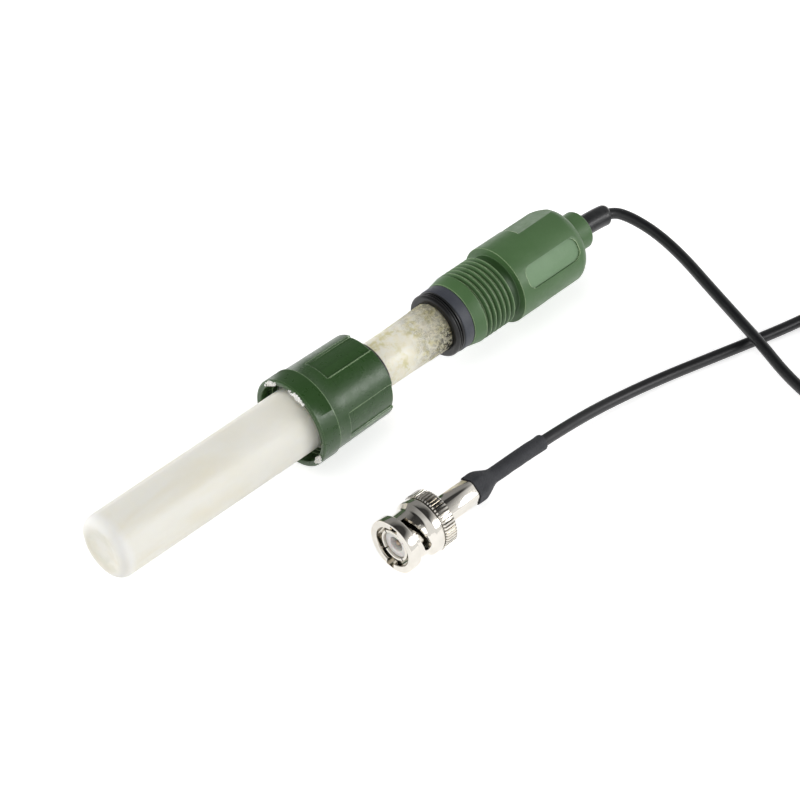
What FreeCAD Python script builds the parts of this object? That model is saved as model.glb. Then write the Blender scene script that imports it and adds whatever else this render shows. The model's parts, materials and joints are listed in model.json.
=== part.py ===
import FreeCAD, Part
import math
import os

# A redox electrode: a plastic shaft glued into a green moulded head, with a black
# cable and a bayonet plug. A storage tube and its green cap nut are on the tip.
# The electrode lies on the floor along X, with its tip towards minus X.
# Lengths are millimetres. Stations along the electrode are counted from the shoulder
# of the head, plus towards the cable and minus towards the tip.

# Shaft and sensing tip
shaft_diameter = 12.0
shaft_wall = 1.0
shaft_reach = 106.5
shaft_socket_end = -1.0
stem_diameter = 5.0
stem_wall = 0.8
stem_proud = 1.5
stem_end_wall = 4.0
stem_rear_station = -7.0
pin_diameter = 1.0
pin_proud = 2.0
pin_length = 9.0
lead_wire_diameter = 0.6
reference_wire_diameter = 0.8
reference_wire_offset = 3.75
reference_wire_setback = 12.5
tip_plug_length = 6.0
frit_diameter = 1.2
gel_end_station = -26.0
stopper_length = 4.0
glue_line = 0.02

# Seals below the head
o_ring_diameter = 16.3
o_ring_width = 2.5
o_ring_round = 1.05
washer_diameter = 16.5
washer_thickness = 3.05
washer_edge = 0.25
seal_bore_clearance = 0.03

# Head
thread_length = 15.2
thread_major_diameter = 18.1
thread_pitch = 1.54
thread_depth = 0.95
thread_crests = 7
thread_crest_width = 0.36
lead_in_front_diameter = 16.8
relief_width = 2.05
cap_diameter = 19.9
cap_length = 22.5
cap_edge_round = 0.35
cap_shoulder_length = 3.4
cap_shoulder_drop = 1.4
flat_width_across = 18.0
flat_start = 9.1
flat_angle = 124.0
label_start = 2.5
label_length = 17.2
label_height = 5.9
label_corner_round = 2.2
label_depth = 0.45
label_angle = 33.5
nozzle_diameter = 9.8
nozzle_length = 6.6
nozzle_edge_round = 0.6
chamber_diameter = 10.6
chamber_end = 17.0

# Storage tube
tube_diameter = 16.0
tube_wall = 1.4
tube_floor = 1.8
tube_end_round = 2.4
tip_room = 11.9
neck_diameter = 18.2
neck_length = 10.8

# Cap nut of the storage tube
nut_station = -44.0
nut_length = 23.0
collar_diameter = 22.84
collar_length = 5.25
body_front_diameter = 22.06
body_rear_diameter = 21.54
nut_edge_round = 0.5
mouth_diameter = 19.9
mouth_depth = 3.6
nut_thread_minor = 18.5
nut_thread_major = 19.6
nut_thread_pitch = 1.5
nut_end_wall = 2.0
nose_clearance = 0.12
panel_start = 8.9
panel_depth = 0.5
panel_sweep = 40.0
panel_count = 4
panel_first_angle = 3.0

# Rubber seal bush inside the cap nut
bush_length = 5.4
bush_diameter = 18.2
bush_nose_diameter = 15.3
bush_nose_proud = 2.3
bush_nose_round = 0.5
bush_bore_clearance = 0.05
face_gap = 0.05

# Cable and its strain relief sleeve
cable_diameter = 2.8
sleeve_diameter = 5.2
sleeve_in_nozzle = 3.0
sleeve_reach = 9.3
sleeve_end_round = 0.9
sleeve_seat_clearance = 0.05

# Coil of the length that is put away
coil_centre = (107.0, -81.0)
coil_outer_radius = 21.1
coil_turn_pitch = 2.9
coil_turns_per_layer = 3.69

# Plug, its axis parallel to X, its front face at plug_front
plug_front = -27.45
plug_side = -41.1
ring_length = 13.8
ring_front_diameter = 13.6
ring_front_length = 2.6
ring_neck_diameter = 11.6
ring_neck_end = 6.8
ring_band_diameter = 13.7
ring_band_start = 8.0
ring_edge = 0.25
knurl_diameter = 14.3
knurl_length = 3.5
knurl_grooves = 54
knurl_depth = 0.32
knurl_relief = 0.3
ring_bore = 10.1
lip_thickness = 1.2
lip_setback = 0.6
ring_running_clearance = 0.08
bayonet_width = 2.1
bayonet_outer_diameter = 12.6
bayonet_sweep = 80.0
bayonet_rise = 2.0
bayonet_first_angle = 135.0
contact_diameter = 8.1
contact_wall = 0.65
contact_setback = 0.7
contact_slots = 4
contact_slot_width = 0.35
contact_slot_length = 4.6
flange_diameter = 9.7
flange_start = 8.7
flange_thickness = 2.4
barrel_diameter = 8.0
barrel_end = 15.1
crimp_neck_diameter = 3.9
crimp_neck_end = 21.2
gasket_thickness = 0.65
washer_spring_thickness = 0.5
retainer_diameter = 9.4
retainer_thickness = 0.45
retainer_groove = 0.35
insulator_setback = 0.6
insulator_hole_diameter = 3.7
insulator_hole_depth = 4.6
centre_pin_diameter = 1.35
centre_pin_setback = 1.6
centre_pin_root_diameter = 2.0
ferrule_across = 6.1
ferrule_end = 26.7
ferrule_edge = 0.35

# Heat-shrink sleeve over the ferrule and the cable
shrink_start = 24.7
shrink_length = 23.8
shrink_wall = 0.5
shrink_over_ferrule = 0.1
shrink_taper_length = 6.0
ferrule_corner_ratio = 1.06

# Sizes that follow from the ones above
axis_height = collar_diameter / 2.0
cable_radius = cable_diameter / 2.0
front_end = -(shaft_reach + stem_proud + pin_proud + tip_room + tube_floor)
rear_end = cap_length + nozzle_length
centre_station = (front_end + rear_end) / 2.0
plug_height = knurl_diameter / 2.0
knurl_start = ring_length - knurl_length
lip_end = ring_length - lip_setback
lip_start = lip_end - lip_thickness
cable_entry_x = rear_end - sleeve_in_nozzle - centre_station
cable_plug_x = plug_front + crimp_neck_end


def station(value):
    """The X place of a station counted from the head's shoulder."""
    return value - centre_station


# The cable's route from the head to the coil, then from the coil to the plug
lead_route = [
    (cable_entry_x, 0.0, axis_height),
    (cable_entry_x + 6.0, 0.0, axis_height),
    (87.4, -0.6, 10.8),
    (90.2, -4.9, 9.6),
    (91.6, -12.2, 8.1),
    (90.8, -21.5, 6.8),
    (88.3, -31.8, 5.9),
    (85.6, -42.6, 5.3),
    (82.4, -54.0, 5.2),
    (79.6, -65.5, 3.5),
    (79.1, -77.8, 1.9),
    (83.3, -89.4, 1.45),
    (92.3, -97.4, 1.42),
]
tail_route = [
    (119.2, -62.6, 3.7),
    (111.6, -56.6, 2.2),
    (102.2, -53.4, 1.5),
    (92.4, -51.3, 1.42),
    (82.0, -48.5, 1.42),
    (71.3, -45.6, 1.42),
    (60.5, -42.8, 1.5),
    (49.3, -40.9, 2.1),
    (37.2, -40.2, 3.7),
    (23.8, -40.7, 5.8),
    (10.0, plug_side, plug_height),
    (cable_plug_x, plug_side, plug_height),
]
coil_entry_angle = -105.0
coil_exit_angle = 35.0


def vector(point):
    return FreeCAD.Vector(*point)


def corner_radii(points):
    """The largest arc that each corner of a route has room for."""
    radii = []
    for before, corner, after in zip(points, points[1:], points[2:]):
        run_in = vector(corner) - vector(before)
        run_out = vector(after) - vector(corner)
        shorter = min(run_in.Length, run_out.Length)
        radii.append(0.45 * shorter / math.tan(run_in.getAngle(run_out) / 2.0))
    return radii


def rounded_edges(points, radii, closed):
    """Straight runs joined by tangent arcs, a radius of 0 for a sharp corner."""
    count = len(points)
    corners = range(count) if closed else range(1, count - 1)
    starts = {}
    ends = {}
    arcs = {}
    for index in range(count):
        starts[index] = vector(points[index])
        ends[index] = vector(points[index])
    for index, radius in zip(corners, radii):
        if radius <= 0.0:
            continue
        corner = vector(points[index])
        back = (vector(points[index - 1]) - corner).normalize()
        ahead = (vector(points[(index + 1) % count]) - corner).normalize()
        half_turn = (math.pi - back.getAngle(ahead)) / 2.0
        bisector = (back + ahead).normalize()
        starts[index] = corner + back * (radius * math.tan(half_turn))
        ends[index] = corner + ahead * (radius * math.tan(half_turn))
        middle = corner + bisector * (radius / math.cos(half_turn) - radius)
        arcs[index] = Part.Arc(starts[index], middle, ends[index]).toShape()
    edges = []
    for index in range(count if closed else count - 1):
        following = (index + 1) % count
        if ends[index].distanceToPoint(starts[following]) > 1e-6:
            edges.append(Part.LineSegment(ends[index], starts[following]).toShape())
        if following in arcs:
            edges.append(arcs[following])
    return edges


def turned(outline, axis_y=0.0, axis_z=axis_height):
    """A turned solid from (x, radius) or (x, radius, corner round) points."""
    points = [(entry[0], entry[1], 0.0) for entry in outline]
    radii = [entry[2] if len(entry) > 2 else 0.0 for entry in outline]
    wire = Part.Wire(rounded_edges(points, radii, True))
    solid = Part.Face(wire).revolve(vector((0, 0, 0)), vector((1, 0, 0)), 360)
    solid.translate(vector((0, axis_y, axis_z)))
    return solid


def rod(x_start, x_end, diameter, axis_y=0.0, axis_z=axis_height):
    """A plain round bar along X."""
    start = vector((x_start, axis_y, axis_z))
    return Part.makeCylinder(diameter / 2.0, x_end - x_start, start, vector((1, 0, 0)))


def radial_direction(angle):
    """The direction at an angle round the axis, from minus Y over plus Z."""
    turn = math.radians(angle)
    return vector((0, -math.cos(turn), math.sin(turn)))


def spun(shape, angle, axis_y=0.0, axis_z=axis_height):
    """A copy of a shape turned round an axis parallel to X."""
    copy = shape.copy()
    copy.rotate(vector((0, axis_y, axis_z)), vector((1, 0, 0)), angle)
    return copy


def swept(points, radii, radius):
    """A round bar along a route of runs and arcs."""
    wire = Part.Wire(rounded_edges(points, radii, False))
    start = vector(points[0])
    along = vector(points[1]) - start
    ring = Part.Wire([Part.Circle(start, along, radius).toShape()])
    return wire.makePipeShell([ring], True, False)


def one_solid(shape):
    """The only solid of a boolean result."""
    return shape.Solids[0] if len(shape.Solids) == 1 else shape


def make_shaft_tube():
    front = station(-shaft_reach)
    rear = station(shaft_socket_end) - glue_line
    return rod(front, rear, shaft_diameter).cut(
        rod(front - 1, rear + 1, shaft_diameter - 2 * shaft_wall))


def frit_cutter(extra):
    front = station(-shaft_reach)
    offset = radial_direction(-90) * reference_wire_offset
    return rod(front, front + tip_plug_length, frit_diameter + extra, offset.y, axis_height + offset.z)


def make_tip_plug():
    front = station(-shaft_reach)
    bore = shaft_diameter - 2 * shaft_wall
    plug = rod(front, front + tip_plug_length, bore - 2 * glue_line)
    plug = plug.cut(rod(front - 1, front + tip_plug_length + 1, stem_diameter + 2 * glue_line))
    return plug.cut(frit_cutter(2 * glue_line))


def make_ceramic_frit():
    return frit_cutter(0.0)


def make_glass_stem():
    front = station(-shaft_reach - stem_proud)
    rear = station(stem_rear_station)
    radius = stem_diameter / 2.0
    stem = turned([(front, 0), (front, radius, stem_wall), (rear, radius), (rear, 0)])
    stem = stem.cut(rod(front + stem_end_wall, rear + 1, stem_diameter - 2 * stem_wall))
    return stem.cut(rod(front - 1, front + stem_end_wall + 1, pin_diameter + 2 * glue_line))


def pin_front():
    return station(-shaft_reach - stem_proud - pin_proud)


def make_platinum_pin():
    front = pin_front()
    radius = pin_diameter / 2.0
    rear = front + pin_length
    return turned([(front, 0), (front, radius, radius * 0.9), (rear, radius), (rear, 0)])


def wire_end():
    """Where the inner wires meet the cable's wires, inside the potting."""
    return station(chamber_end * 0.25)


def make_platinum_lead():
    return rod(pin_front() + pin_length, wire_end(), lead_wire_diameter)


def reference_wire_place():
    offset = radial_direction(90) * reference_wire_offset
    return offset.y, axis_height + offset.z


def make_reference_wire(extra=0.0):
    axis_y, axis_z = reference_wire_place()
    front = station(-shaft_reach + reference_wire_setback)
    return rod(front, wire_end(), reference_wire_diameter + extra, axis_y, axis_z)


def filling(front, rear):
    """A plug of the ring-shaped space between the shaft tube and the glass stem."""
    bore = shaft_diameter - 2 * shaft_wall
    ring = rod(front, rear, bore - 2 * glue_line)
    ring = ring.cut(rod(front - 1, rear + 1, stem_diameter + 2 * glue_line))
    return ring.cut(make_reference_wire(2 * glue_line))


def make_reference_gel():
    return filling(station(-shaft_reach) + tip_plug_length, station(gel_end_station))


def make_gel_stopper():
    return filling(station(gel_end_station), station(gel_end_station) + stopper_length)


def make_o_ring():
    rear = station(-thread_length - washer_thickness)
    front = rear - o_ring_width
    inner = shaft_diameter / 2.0 + seal_bore_clearance
    outer = o_ring_diameter / 2.0
    inner_round = (outer - inner) * 0.4
    return turned([(front, inner, inner_round), (front, outer, o_ring_round),
                   (rear, outer, o_ring_round), (rear, inner, inner_round)])


def make_seal_washer():
    rear = station(-thread_length)
    front = rear - washer_thickness
    inner = shaft_diameter / 2.0 + seal_bore_clearance
    outer = washer_diameter / 2.0
    return turned([(front, inner), (front, outer, washer_edge), (rear, outer, washer_edge), (rear, inner)])


def cap_shoulder_arc():
    """How far before its end the cap's side is bent, and the radius of the one arc there."""
    corner = (cap_shoulder_length ** 2 - cap_shoulder_drop ** 2) / (2.0 * cap_shoulder_length)
    half_bend = math.atan2(cap_shoulder_drop, corner) / 2.0
    return corner, (cap_shoulder_length - corner) / math.tan(half_bend)


def head_outline():
    """The outside of the head, from the front edge to the end of the nozzle."""
    root = thread_major_diameter / 2.0 - thread_depth
    crest = thread_major_diameter / 2.0
    half_crest = thread_crest_width / 2.0
    half_pitch = thread_pitch / 2.0
    front = station(-thread_length)
    shoulder = station(0)
    last_crest = shoulder - relief_width - half_pitch
    first_crest = last_crest - thread_pitch * (thread_crests - 1)
    outline = [(front, lead_in_front_diameter / 2.0, 0.3)]
    outline.append((first_crest - half_pitch, crest))
    for index in range(thread_crests):
        middle = first_crest + thread_pitch * index
        outline.append((middle - half_pitch + half_crest / 2.0, root))
        outline.append((middle - half_crest, crest))
        outline.append((middle + half_crest, crest))
    outline.append((last_crest + half_pitch, root))
    outline.append((shoulder, root))
    outline.append((shoulder, cap_diameter / 2.0, cap_edge_round))
    rear = station(cap_length)
    corner, shoulder_round = cap_shoulder_arc()
    outline.append((rear - corner, cap_diameter / 2.0, shoulder_round))
    outline.append((rear, cap_diameter / 2.0 - cap_shoulder_drop))
    outline.append((rear, nozzle_diameter / 2.0, 0.25))
    outline.append((station(rear_end), nozzle_diameter / 2.0, nozzle_edge_round))
    return outline


def label_cutter():
    """A rounded oblong that sinks into the head's side, its floor round like the head."""
    half = label_height / 2.0
    left = station(label_start)
    right = left + label_length
    floor_radius = cap_diameter / 2.0 - label_depth
    reach = cap_diameter
    corners = [(left, 0, -half), (right, 0, -half), (right, 0, half), (left, 0, half)]
    outline = Part.Wire(rounded_edges(corners, [label_corner_round] * len(corners), True))
    block = Part.Face(outline).extrude(vector((0, reach, 0)))
    block.rotate(vector((0, 0, 0)), vector((1, 0, 0)), 180.0 - label_angle)
    block.translate(vector((0, 0, axis_height)))
    return block.cut(rod(left - reach, right + reach, 2 * floor_radius))


def flat_cutter(angle):
    """The block that is missing outside one wrench flat."""
    start = station(flat_start)
    length = cap_length - flat_start + 1.0
    width = cap_diameter
    block = Part.makeBox(length, width, width, vector((start, -width / 2.0, flat_width_across / 2.0)))
    block.rotate(vector((0, 0, 0)), vector((1, 0, 0)), 90.0 - angle)
    block.translate(vector((0, 0, axis_height)))
    return block


def make_head_body():
    outline = head_outline()
    outline.append((station(rear_end), 0))
    outline.append((station(-thread_length), 0))
    head = turned(outline)
    for angle in (flat_angle, flat_angle + 180.0):
        head = head.cut(flat_cutter(angle))
    head = head.cut(label_cutter())
    socket_end = station(shaft_socket_end)
    head = head.cut(rod(station(-thread_length) - 1, socket_end, shaft_diameter + 2 * glue_line))
    head = head.cut(rod(socket_end - 1, station(chamber_end), chamber_diameter))
    bore = sleeve_diameter + 2 * sleeve_seat_clearance
    return one_solid(head.cut(rod(station(chamber_end) - 1, station(rear_end) + 1, bore)))


def make_signal_wire():
    return rod(wire_end(), cable_entry_x, lead_wire_diameter)


def make_shield_wire():
    axis_y, axis_z = reference_wire_place()
    start = wire_end()
    inside = cable_radius * 0.6
    points = [
        (start, axis_y, axis_z),
        (start + (cable_entry_x - start) * 0.4, axis_y, axis_z),
        (start + (cable_entry_x - start) * 0.75, axis_y, axis_height + inside),
        (cable_entry_x, axis_y, axis_height + inside),
    ]
    return swept(points, corner_radii(points), lead_wire_diameter / 2.0)


def make_head_potting():
    front = station(shaft_socket_end)
    rear = station(chamber_end)
    potting = rod(front, rear, chamber_diameter - 2 * glue_line)
    for wire in (make_platinum_lead(), make_reference_wire(), make_signal_wire(), make_shield_wire()):
        potting = potting.cut(wire)
    return one_solid(potting)


def sleeve_points():
    """The cable's first runs, cut off where the sleeve ends."""
    start, bend, beyond = lead_route[:3]
    direction = (vector(beyond) - vector(bend)).normalize()
    past_bend = sleeve_in_nozzle + sleeve_reach - (bend[0] - start[0])
    return [start, bend, tuple(vector(bend) + direction * past_bend)]


def make_strain_sleeve():
    points = sleeve_points()
    radii = corner_radii(lead_route[:3])
    sleeve = swept(points, radii, sleeve_diameter / 2.0)
    rim = [edge for edge in sleeve.Edges if edge.Length > cable_diameter
           and edge.CenterOfMass.distanceToPoint(vector(points[-1])) < 0.01]
    sleeve = sleeve.makeFillet(sleeve_end_round, rim[:1])
    return one_solid(sleeve.cut(swept(points, radii, cable_radius + glue_line)))


def coil_top():
    return cable_diameter * 2.0 + 0.1


def coil_inner_radius():
    return coil_outer_radius - coil_turn_pitch * coil_turns_per_layer


def make_cable_coil():
    """The outer shape of the put-away turns, two layers high."""
    centre = vector((coil_centre[0], coil_centre[1], 0.0))
    up = vector((0, 0, 1))
    outer = coil_outer_radius + cable_radius
    inner = coil_inner_radius() - cable_radius
    ring = Part.makeCylinder(outer, coil_top(), centre, up)
    ring = ring.cut(Part.makeCylinder(inner, coil_top(), centre, up))
    return ring.makeFillet(cable_radius * 0.9, ring.Edges)


def coil_point(angle, height):
    turn = math.radians(angle)
    return (coil_centre[0] + coil_outer_radius * math.cos(turn),
            coil_centre[1] + coil_outer_radius * math.sin(turn), height)


def make_cable_lead():
    points = lead_route + [coil_point(coil_entry_angle, cable_radius + 0.02)]
    return swept(points, corner_radii(points), cable_radius)


def make_cable_tail():
    points = [coil_point(coil_exit_angle, coil_top() - cable_radius - 0.02)] + tail_route
    return swept(points, corner_radii(points), cable_radius)


def make_storage_tube():
    front = station(front_end)
    neck_end = station(nut_station - nut_end_wall - bush_length) - face_gap
    neck_start = neck_end - neck_length
    outer = tube_diameter / 2.0
    inner = outer - tube_wall
    neck = neck_diameter / 2.0
    slope = neck - outer
    outline = [
        (front, 0), (front, outer, tube_end_round), (neck_start - slope, outer),
        (neck_start, neck), (neck_end, neck, 0.3), (neck_end, inner, 0.3),
        (front + tube_floor, inner, tube_end_round - tube_wall), (front + tube_floor, 0),
    ]
    return turned(outline)


def nut_bore_outline():
    """The inside of the cap nut: mouth, thread grooves, seal seat and end hole."""
    front = station(nut_station - nut_length)
    rear = station(nut_station)
    seat_end = rear - nut_end_wall
    seat_start = seat_end - bush_length
    minor = nut_thread_minor / 2.0
    major = nut_thread_major / 2.0
    mouth = mouth_diameter / 2.0
    outline = [(front - 1, 0), (front - 1, mouth + nut_edge_round), (front, mouth + nut_edge_round),
               (front + nut_edge_round, mouth), (front + mouth_depth, mouth), (front + mouth_depth, minor)]
    first = front + mouth_depth + nut_thread_pitch / 2.0
    turns = int((seat_start - first) / nut_thread_pitch)
    for index in range(turns):
        groove = first + index * nut_thread_pitch
        quarter = nut_thread_pitch / 4.0
        outline += [(groove, minor), (groove + quarter, major),
                    (groove + 1.5 * quarter, major), (groove + 2.5 * quarter, minor)]
    hole = bush_nose_diameter / 2.0 + nose_clearance
    outline += [(seat_end, minor), (seat_end, hole), (rear + 1, hole), (rear + 1, 0)]
    return outline


def panel_cutter(angle):
    """One sunken grip panel, open at the end of the nut."""
    rear = station(nut_station)
    start = station(nut_station - nut_length) + panel_start
    front_radius = body_front_diameter / 2.0 - panel_depth
    rear_radius = body_rear_diameter / 2.0 - panel_depth
    reach = collar_diameter / 2.0 + 1.0
    points = [(start, front_radius, 0), (start, reach, 0), (rear + 1, reach, 0), (rear + 1, rear_radius, 0)]
    face = Part.Face(Part.makePolygon([vector(point) for point in points + points[:1]]))
    sector = face.revolve(vector((0, 0, 0)), vector((1, 0, 0)), panel_sweep)
    sector.rotate(vector((0, 0, 0)), vector((1, 0, 0)), 180.0 - angle - panel_sweep / 2.0)
    sector.translate(vector((0, 0, axis_height)))
    return sector


def make_cap_nut():
    front = station(nut_station - nut_length)
    rear = station(nut_station)
    collar_end = front + collar_length
    collar = collar_diameter / 2.0
    outline = [
        (front, 0), (front, collar, nut_edge_round), (collar_end, collar, 0.15),
        (collar_end, body_front_diameter / 2.0), (rear, body_rear_diameter / 2.0, 0.2), (rear, 0),
    ]
    nut = turned(outline).cut(turned(nut_bore_outline()))
    for index in range(panel_count):
        nut = nut.cut(panel_cutter(panel_first_angle + index * 360.0 / panel_count))
    return one_solid(nut)


def make_seal_bush():
    rear = station(nut_station)
    seat_end = rear - nut_end_wall - face_gap
    seat_start = station(nut_station - nut_end_wall - bush_length)
    inner = shaft_diameter / 2.0 + bush_bore_clearance
    nose = bush_nose_diameter / 2.0
    outline = [
        (seat_start, inner), (seat_start, bush_diameter / 2.0, 0.3), (seat_end, bush_diameter / 2.0, 0.3),
        (seat_end, nose), (rear + bush_nose_proud, nose, bush_nose_round),
        (rear + bush_nose_proud, inner, bush_nose_round),
    ]
    return turned(outline)


def plug_turned(outline):
    """A turned plug piece, its stations counted from the front of the plug."""
    moved = [(plug_front + entry[0],) + tuple(entry[1:]) for entry in outline]
    return turned(moved, plug_side, plug_height)


def plug_rod(x_start, x_end, diameter):
    return rod(plug_front + x_start, plug_front + x_end, diameter, plug_side, plug_height)


def knurl_band():
    """The grooved band at the rear of the coupling ring."""
    points = []
    crest = knurl_diameter / 2.0
    step = 2.0 * math.pi / knurl_grooves
    for index in range(knurl_grooves):
        for share, radius in ((0.0, crest - knurl_depth), (0.3, crest), (0.7, crest)):
            turn = step * (index + share)
            points.append(vector((0, radius * math.cos(turn), radius * math.sin(turn))))
    band = Part.Face(Part.makePolygon(points + points[:1])).extrude(vector((knurl_length, 0, 0)))
    band.translate(vector((plug_front + knurl_start, plug_side, plug_height)))
    edge = knurl_depth
    root = crest - edge
    blank = plug_turned([(knurl_start, 0), (knurl_start, root), (knurl_start + edge, crest),
                         (ring_length - edge, crest), (ring_length, root), (ring_length, 0)])
    return band.common(blank)


def bayonet_cutter(angle):
    """One channel that lets a socket's stud in and leads it round to its stop."""
    outer = bayonet_outer_diameter / 2.0
    half = bayonet_width / 2.0
    entry_end = ring_front_length + bayonet_width
    channel = Part.makeBox(entry_end + 1.0, outer, bayonet_width, vector((plug_front - 1.0, 0, -half)))
    slab = Part.makeBox(bayonet_width, 2 * outer, 2 * outer, vector((-half, -outer, -outer)))
    ramp_run = 2.0 * outer * math.sin(math.radians(bayonet_sweep / 2.0))
    slope = math.degrees(math.atan2(bayonet_rise, ramp_run))
    slab.rotate(vector((0, 0, 0)), vector((0, 1, 0)), slope)
    slab.translate(vector((plug_front + entry_end - half + bayonet_rise / 2.0, 0, 0)))
    sector_start = vector((plug_front - 1.0, 0, 0))
    sector = Part.makeCylinder(outer, ring_length, sector_start, vector((1, 0, 0)), bayonet_sweep)
    sector.rotate(vector((0, 0, 0)), vector((1, 0, 0)), -90.0 - bayonet_sweep / 2.0)
    ramp = slab.common(sector)
    start_turn = -bayonet_sweep / 2.0
    stop_turn = bayonet_sweep / 2.0
    channel.rotate(vector((0, 0, 0)), vector((1, 0, 0)), start_turn)
    stop = Part.makeCylinder(half, outer, vector((plug_front + entry_end - half + bayonet_rise, 0, 0)),
                             vector((0, 1, 0)))
    stop.rotate(vector((0, 0, 0)), vector((1, 0, 0)), stop_turn)
    cutter = ramp.fuse([channel, stop])
    cutter.translate(vector((0, plug_side, plug_height)))
    return spun(cutter, angle, plug_side, plug_height)


def make_plug_ring():
    front_radius = ring_front_diameter / 2.0
    neck = ring_neck_diameter / 2.0
    band = ring_band_diameter / 2.0
    root = knurl_diameter / 2.0 - knurl_depth
    ring = plug_turned([
        (0, 0), (0, front_radius, ring_edge), (ring_front_length, front_radius, ring_edge),
        (ring_front_length, neck), (ring_neck_end, neck, 0.8), (ring_band_start, band, 0.5),
        (knurl_start - knurl_relief, band, ring_edge), (knurl_start - knurl_relief, root - 0.2),
        (knurl_start + 0.1, root - 0.2), (knurl_start + 0.1, 0),
    ])
    ring = ring.fuse(knurl_band())
    lip_bore = barrel_diameter / 2.0 + ring_running_clearance
    bore = ring_bore / 2.0
    ring = ring.cut(plug_turned([
        (-1, 0), (-1, bore + 1 + ring_edge), (ring_edge, bore), (lip_start, bore), (lip_start, lip_bore),
        (lip_end, lip_bore), (lip_end, bore), (ring_length + 1, bore), (ring_length + 1, 0),
    ]))
    for angle in (bayonet_first_angle, bayonet_first_angle + 180.0):
        ring = ring.cut(bayonet_cutter(angle))
    return one_solid(ring)


def make_plug_body():
    contact = contact_diameter / 2.0
    flange_end = flange_start + flange_thickness
    groove = lip_end + face_gap
    barrel = barrel_diameter / 2.0
    body = plug_turned([
        (contact_setback, 0), (contact_setback, contact, 0.2), (flange_start, contact),
        (flange_start, flange_diameter / 2.0), (flange_end, flange_diameter / 2.0), (flange_end, barrel),
        (groove, barrel), (groove, barrel - retainer_groove),
        (groove + retainer_thickness, barrel - retainer_groove), (groove + retainer_thickness, barrel),
        (barrel_end, barrel, 0.3), (barrel_end, crimp_neck_diameter / 2.0),
        (crimp_neck_end, crimp_neck_diameter / 2.0), (crimp_neck_end, 0),
    ])
    inner = contact - contact_wall
    body = body.cut(plug_turned([
        (0, 0), (0, inner), (flange_start + flange_thickness, inner),
        (flange_start + flange_thickness, centre_pin_root_diameter / 2.0 + glue_line),
        (crimp_neck_end + 1, centre_pin_root_diameter / 2.0 + glue_line), (crimp_neck_end + 1, 0),
    ]))
    slot_x = plug_front + contact_setback - 1.0
    slot_corner = vector((slot_x, plug_side, plug_height - contact_slot_width / 2.0))
    for index in range(contact_slots):
        slot = Part.makeBox(contact_slot_length + 1.0, contact, contact_slot_width, slot_corner)
        body = body.cut(spun(slot, 45.0 + index * 360.0 / contact_slots, plug_side, plug_height))
    return one_solid(body)


def make_plug_gasket():
    inner = contact_diameter / 2.0 + 0.03
    outer = flange_diameter / 2.0
    start = flange_start - gasket_thickness
    return plug_turned([(start, inner, 0.15), (start, outer, 0.15),
                        (flange_start, outer), (flange_start, inner)])


def make_wave_washer():
    start = flange_start + flange_thickness
    end = start + washer_spring_thickness
    inner = barrel_diameter / 2.0 + 0.1
    outer = flange_diameter / 2.0
    return plug_turned([(start, inner), (start, outer), (end, outer), (end, inner)])


def make_retaining_ring():
    start = lip_end + face_gap
    inner = barrel_diameter / 2.0 - retainer_groove
    outer = retainer_diameter / 2.0
    end = start + retainer_thickness
    ring = plug_turned([(start, inner), (start, outer), (end, outer), (end, inner)])
    gap = Part.makeBox(retainer_thickness + 2.0, retainer_diameter, 1.4,
                       vector((plug_front + start - 1.0, plug_side, plug_height - 0.7)))
    return one_solid(ring.cut(spun(gap, 200.0, plug_side, plug_height)))


def make_plug_insulator():
    radius = contact_diameter / 2.0 - contact_wall - glue_line
    start = contact_setback + insulator_setback
    end = flange_start + flange_thickness
    hole = insulator_hole_diameter / 2.0
    pin = centre_pin_root_diameter / 2.0 + glue_line
    floor = start + insulator_hole_depth
    return plug_turned([(start, hole, 0.25), (start, radius, 0.2), (end, radius),
                        (end, pin), (floor, pin), (floor, hole)])


def make_plug_pin():
    tip = centre_pin_setback
    thin = centre_pin_diameter / 2.0
    thick = centre_pin_root_diameter / 2.0
    step = contact_setback + insulator_setback + insulator_hole_depth
    return plug_turned([
        (tip, 0), (tip, thin, thin * 0.85), (step, thin), (step, thick),
        (crimp_neck_end, thick), (crimp_neck_end, 0),
    ])


def make_crimp_ferrule():
    """A crimped tube, six-sided outside, round where it grips neck and cable."""
    start = barrel_end
    corner = ferrule_across / math.sqrt(3.0)
    points = []
    for index in range(6):
        turn = math.radians(60.0 * index + 23.0)
        points.append(vector((0, corner * math.cos(turn), corner * math.sin(turn))))
    bar = Part.Face(Part.makePolygon(points + points[:1])).extrude(vector((ferrule_end - start, 0, 0)))
    bar.translate(vector((plug_front + start, plug_side, plug_height)))
    round_radius = ferrule_across / 2.0 * ferrule_corner_ratio
    bar = bar.common(plug_turned([
        (start, 0), (start, round_radius, ferrule_edge),
        (ferrule_end, round_radius, ferrule_edge), (ferrule_end, 0)]))
    bar = bar.cut(plug_rod(start - 1, crimp_neck_end, crimp_neck_diameter + 2 * glue_line))
    return one_solid(bar.cut(plug_rod(crimp_neck_end - 1, ferrule_end + 1, cable_diameter + 2 * glue_line)))


def shrink_points():
    """The cable's last runs, from where the sleeve's narrow part starts to its end."""
    bend = tail_route[-2]
    beyond = tail_route[-3]
    start = (plug_front + ferrule_end, plug_side, plug_height)
    direction = (vector(beyond) - vector(bend)).normalize()
    past_bend = shrink_start + shrink_length + plug_front - bend[0]
    return [start, bend, tuple(vector(bend) + direction * past_bend)]


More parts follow.
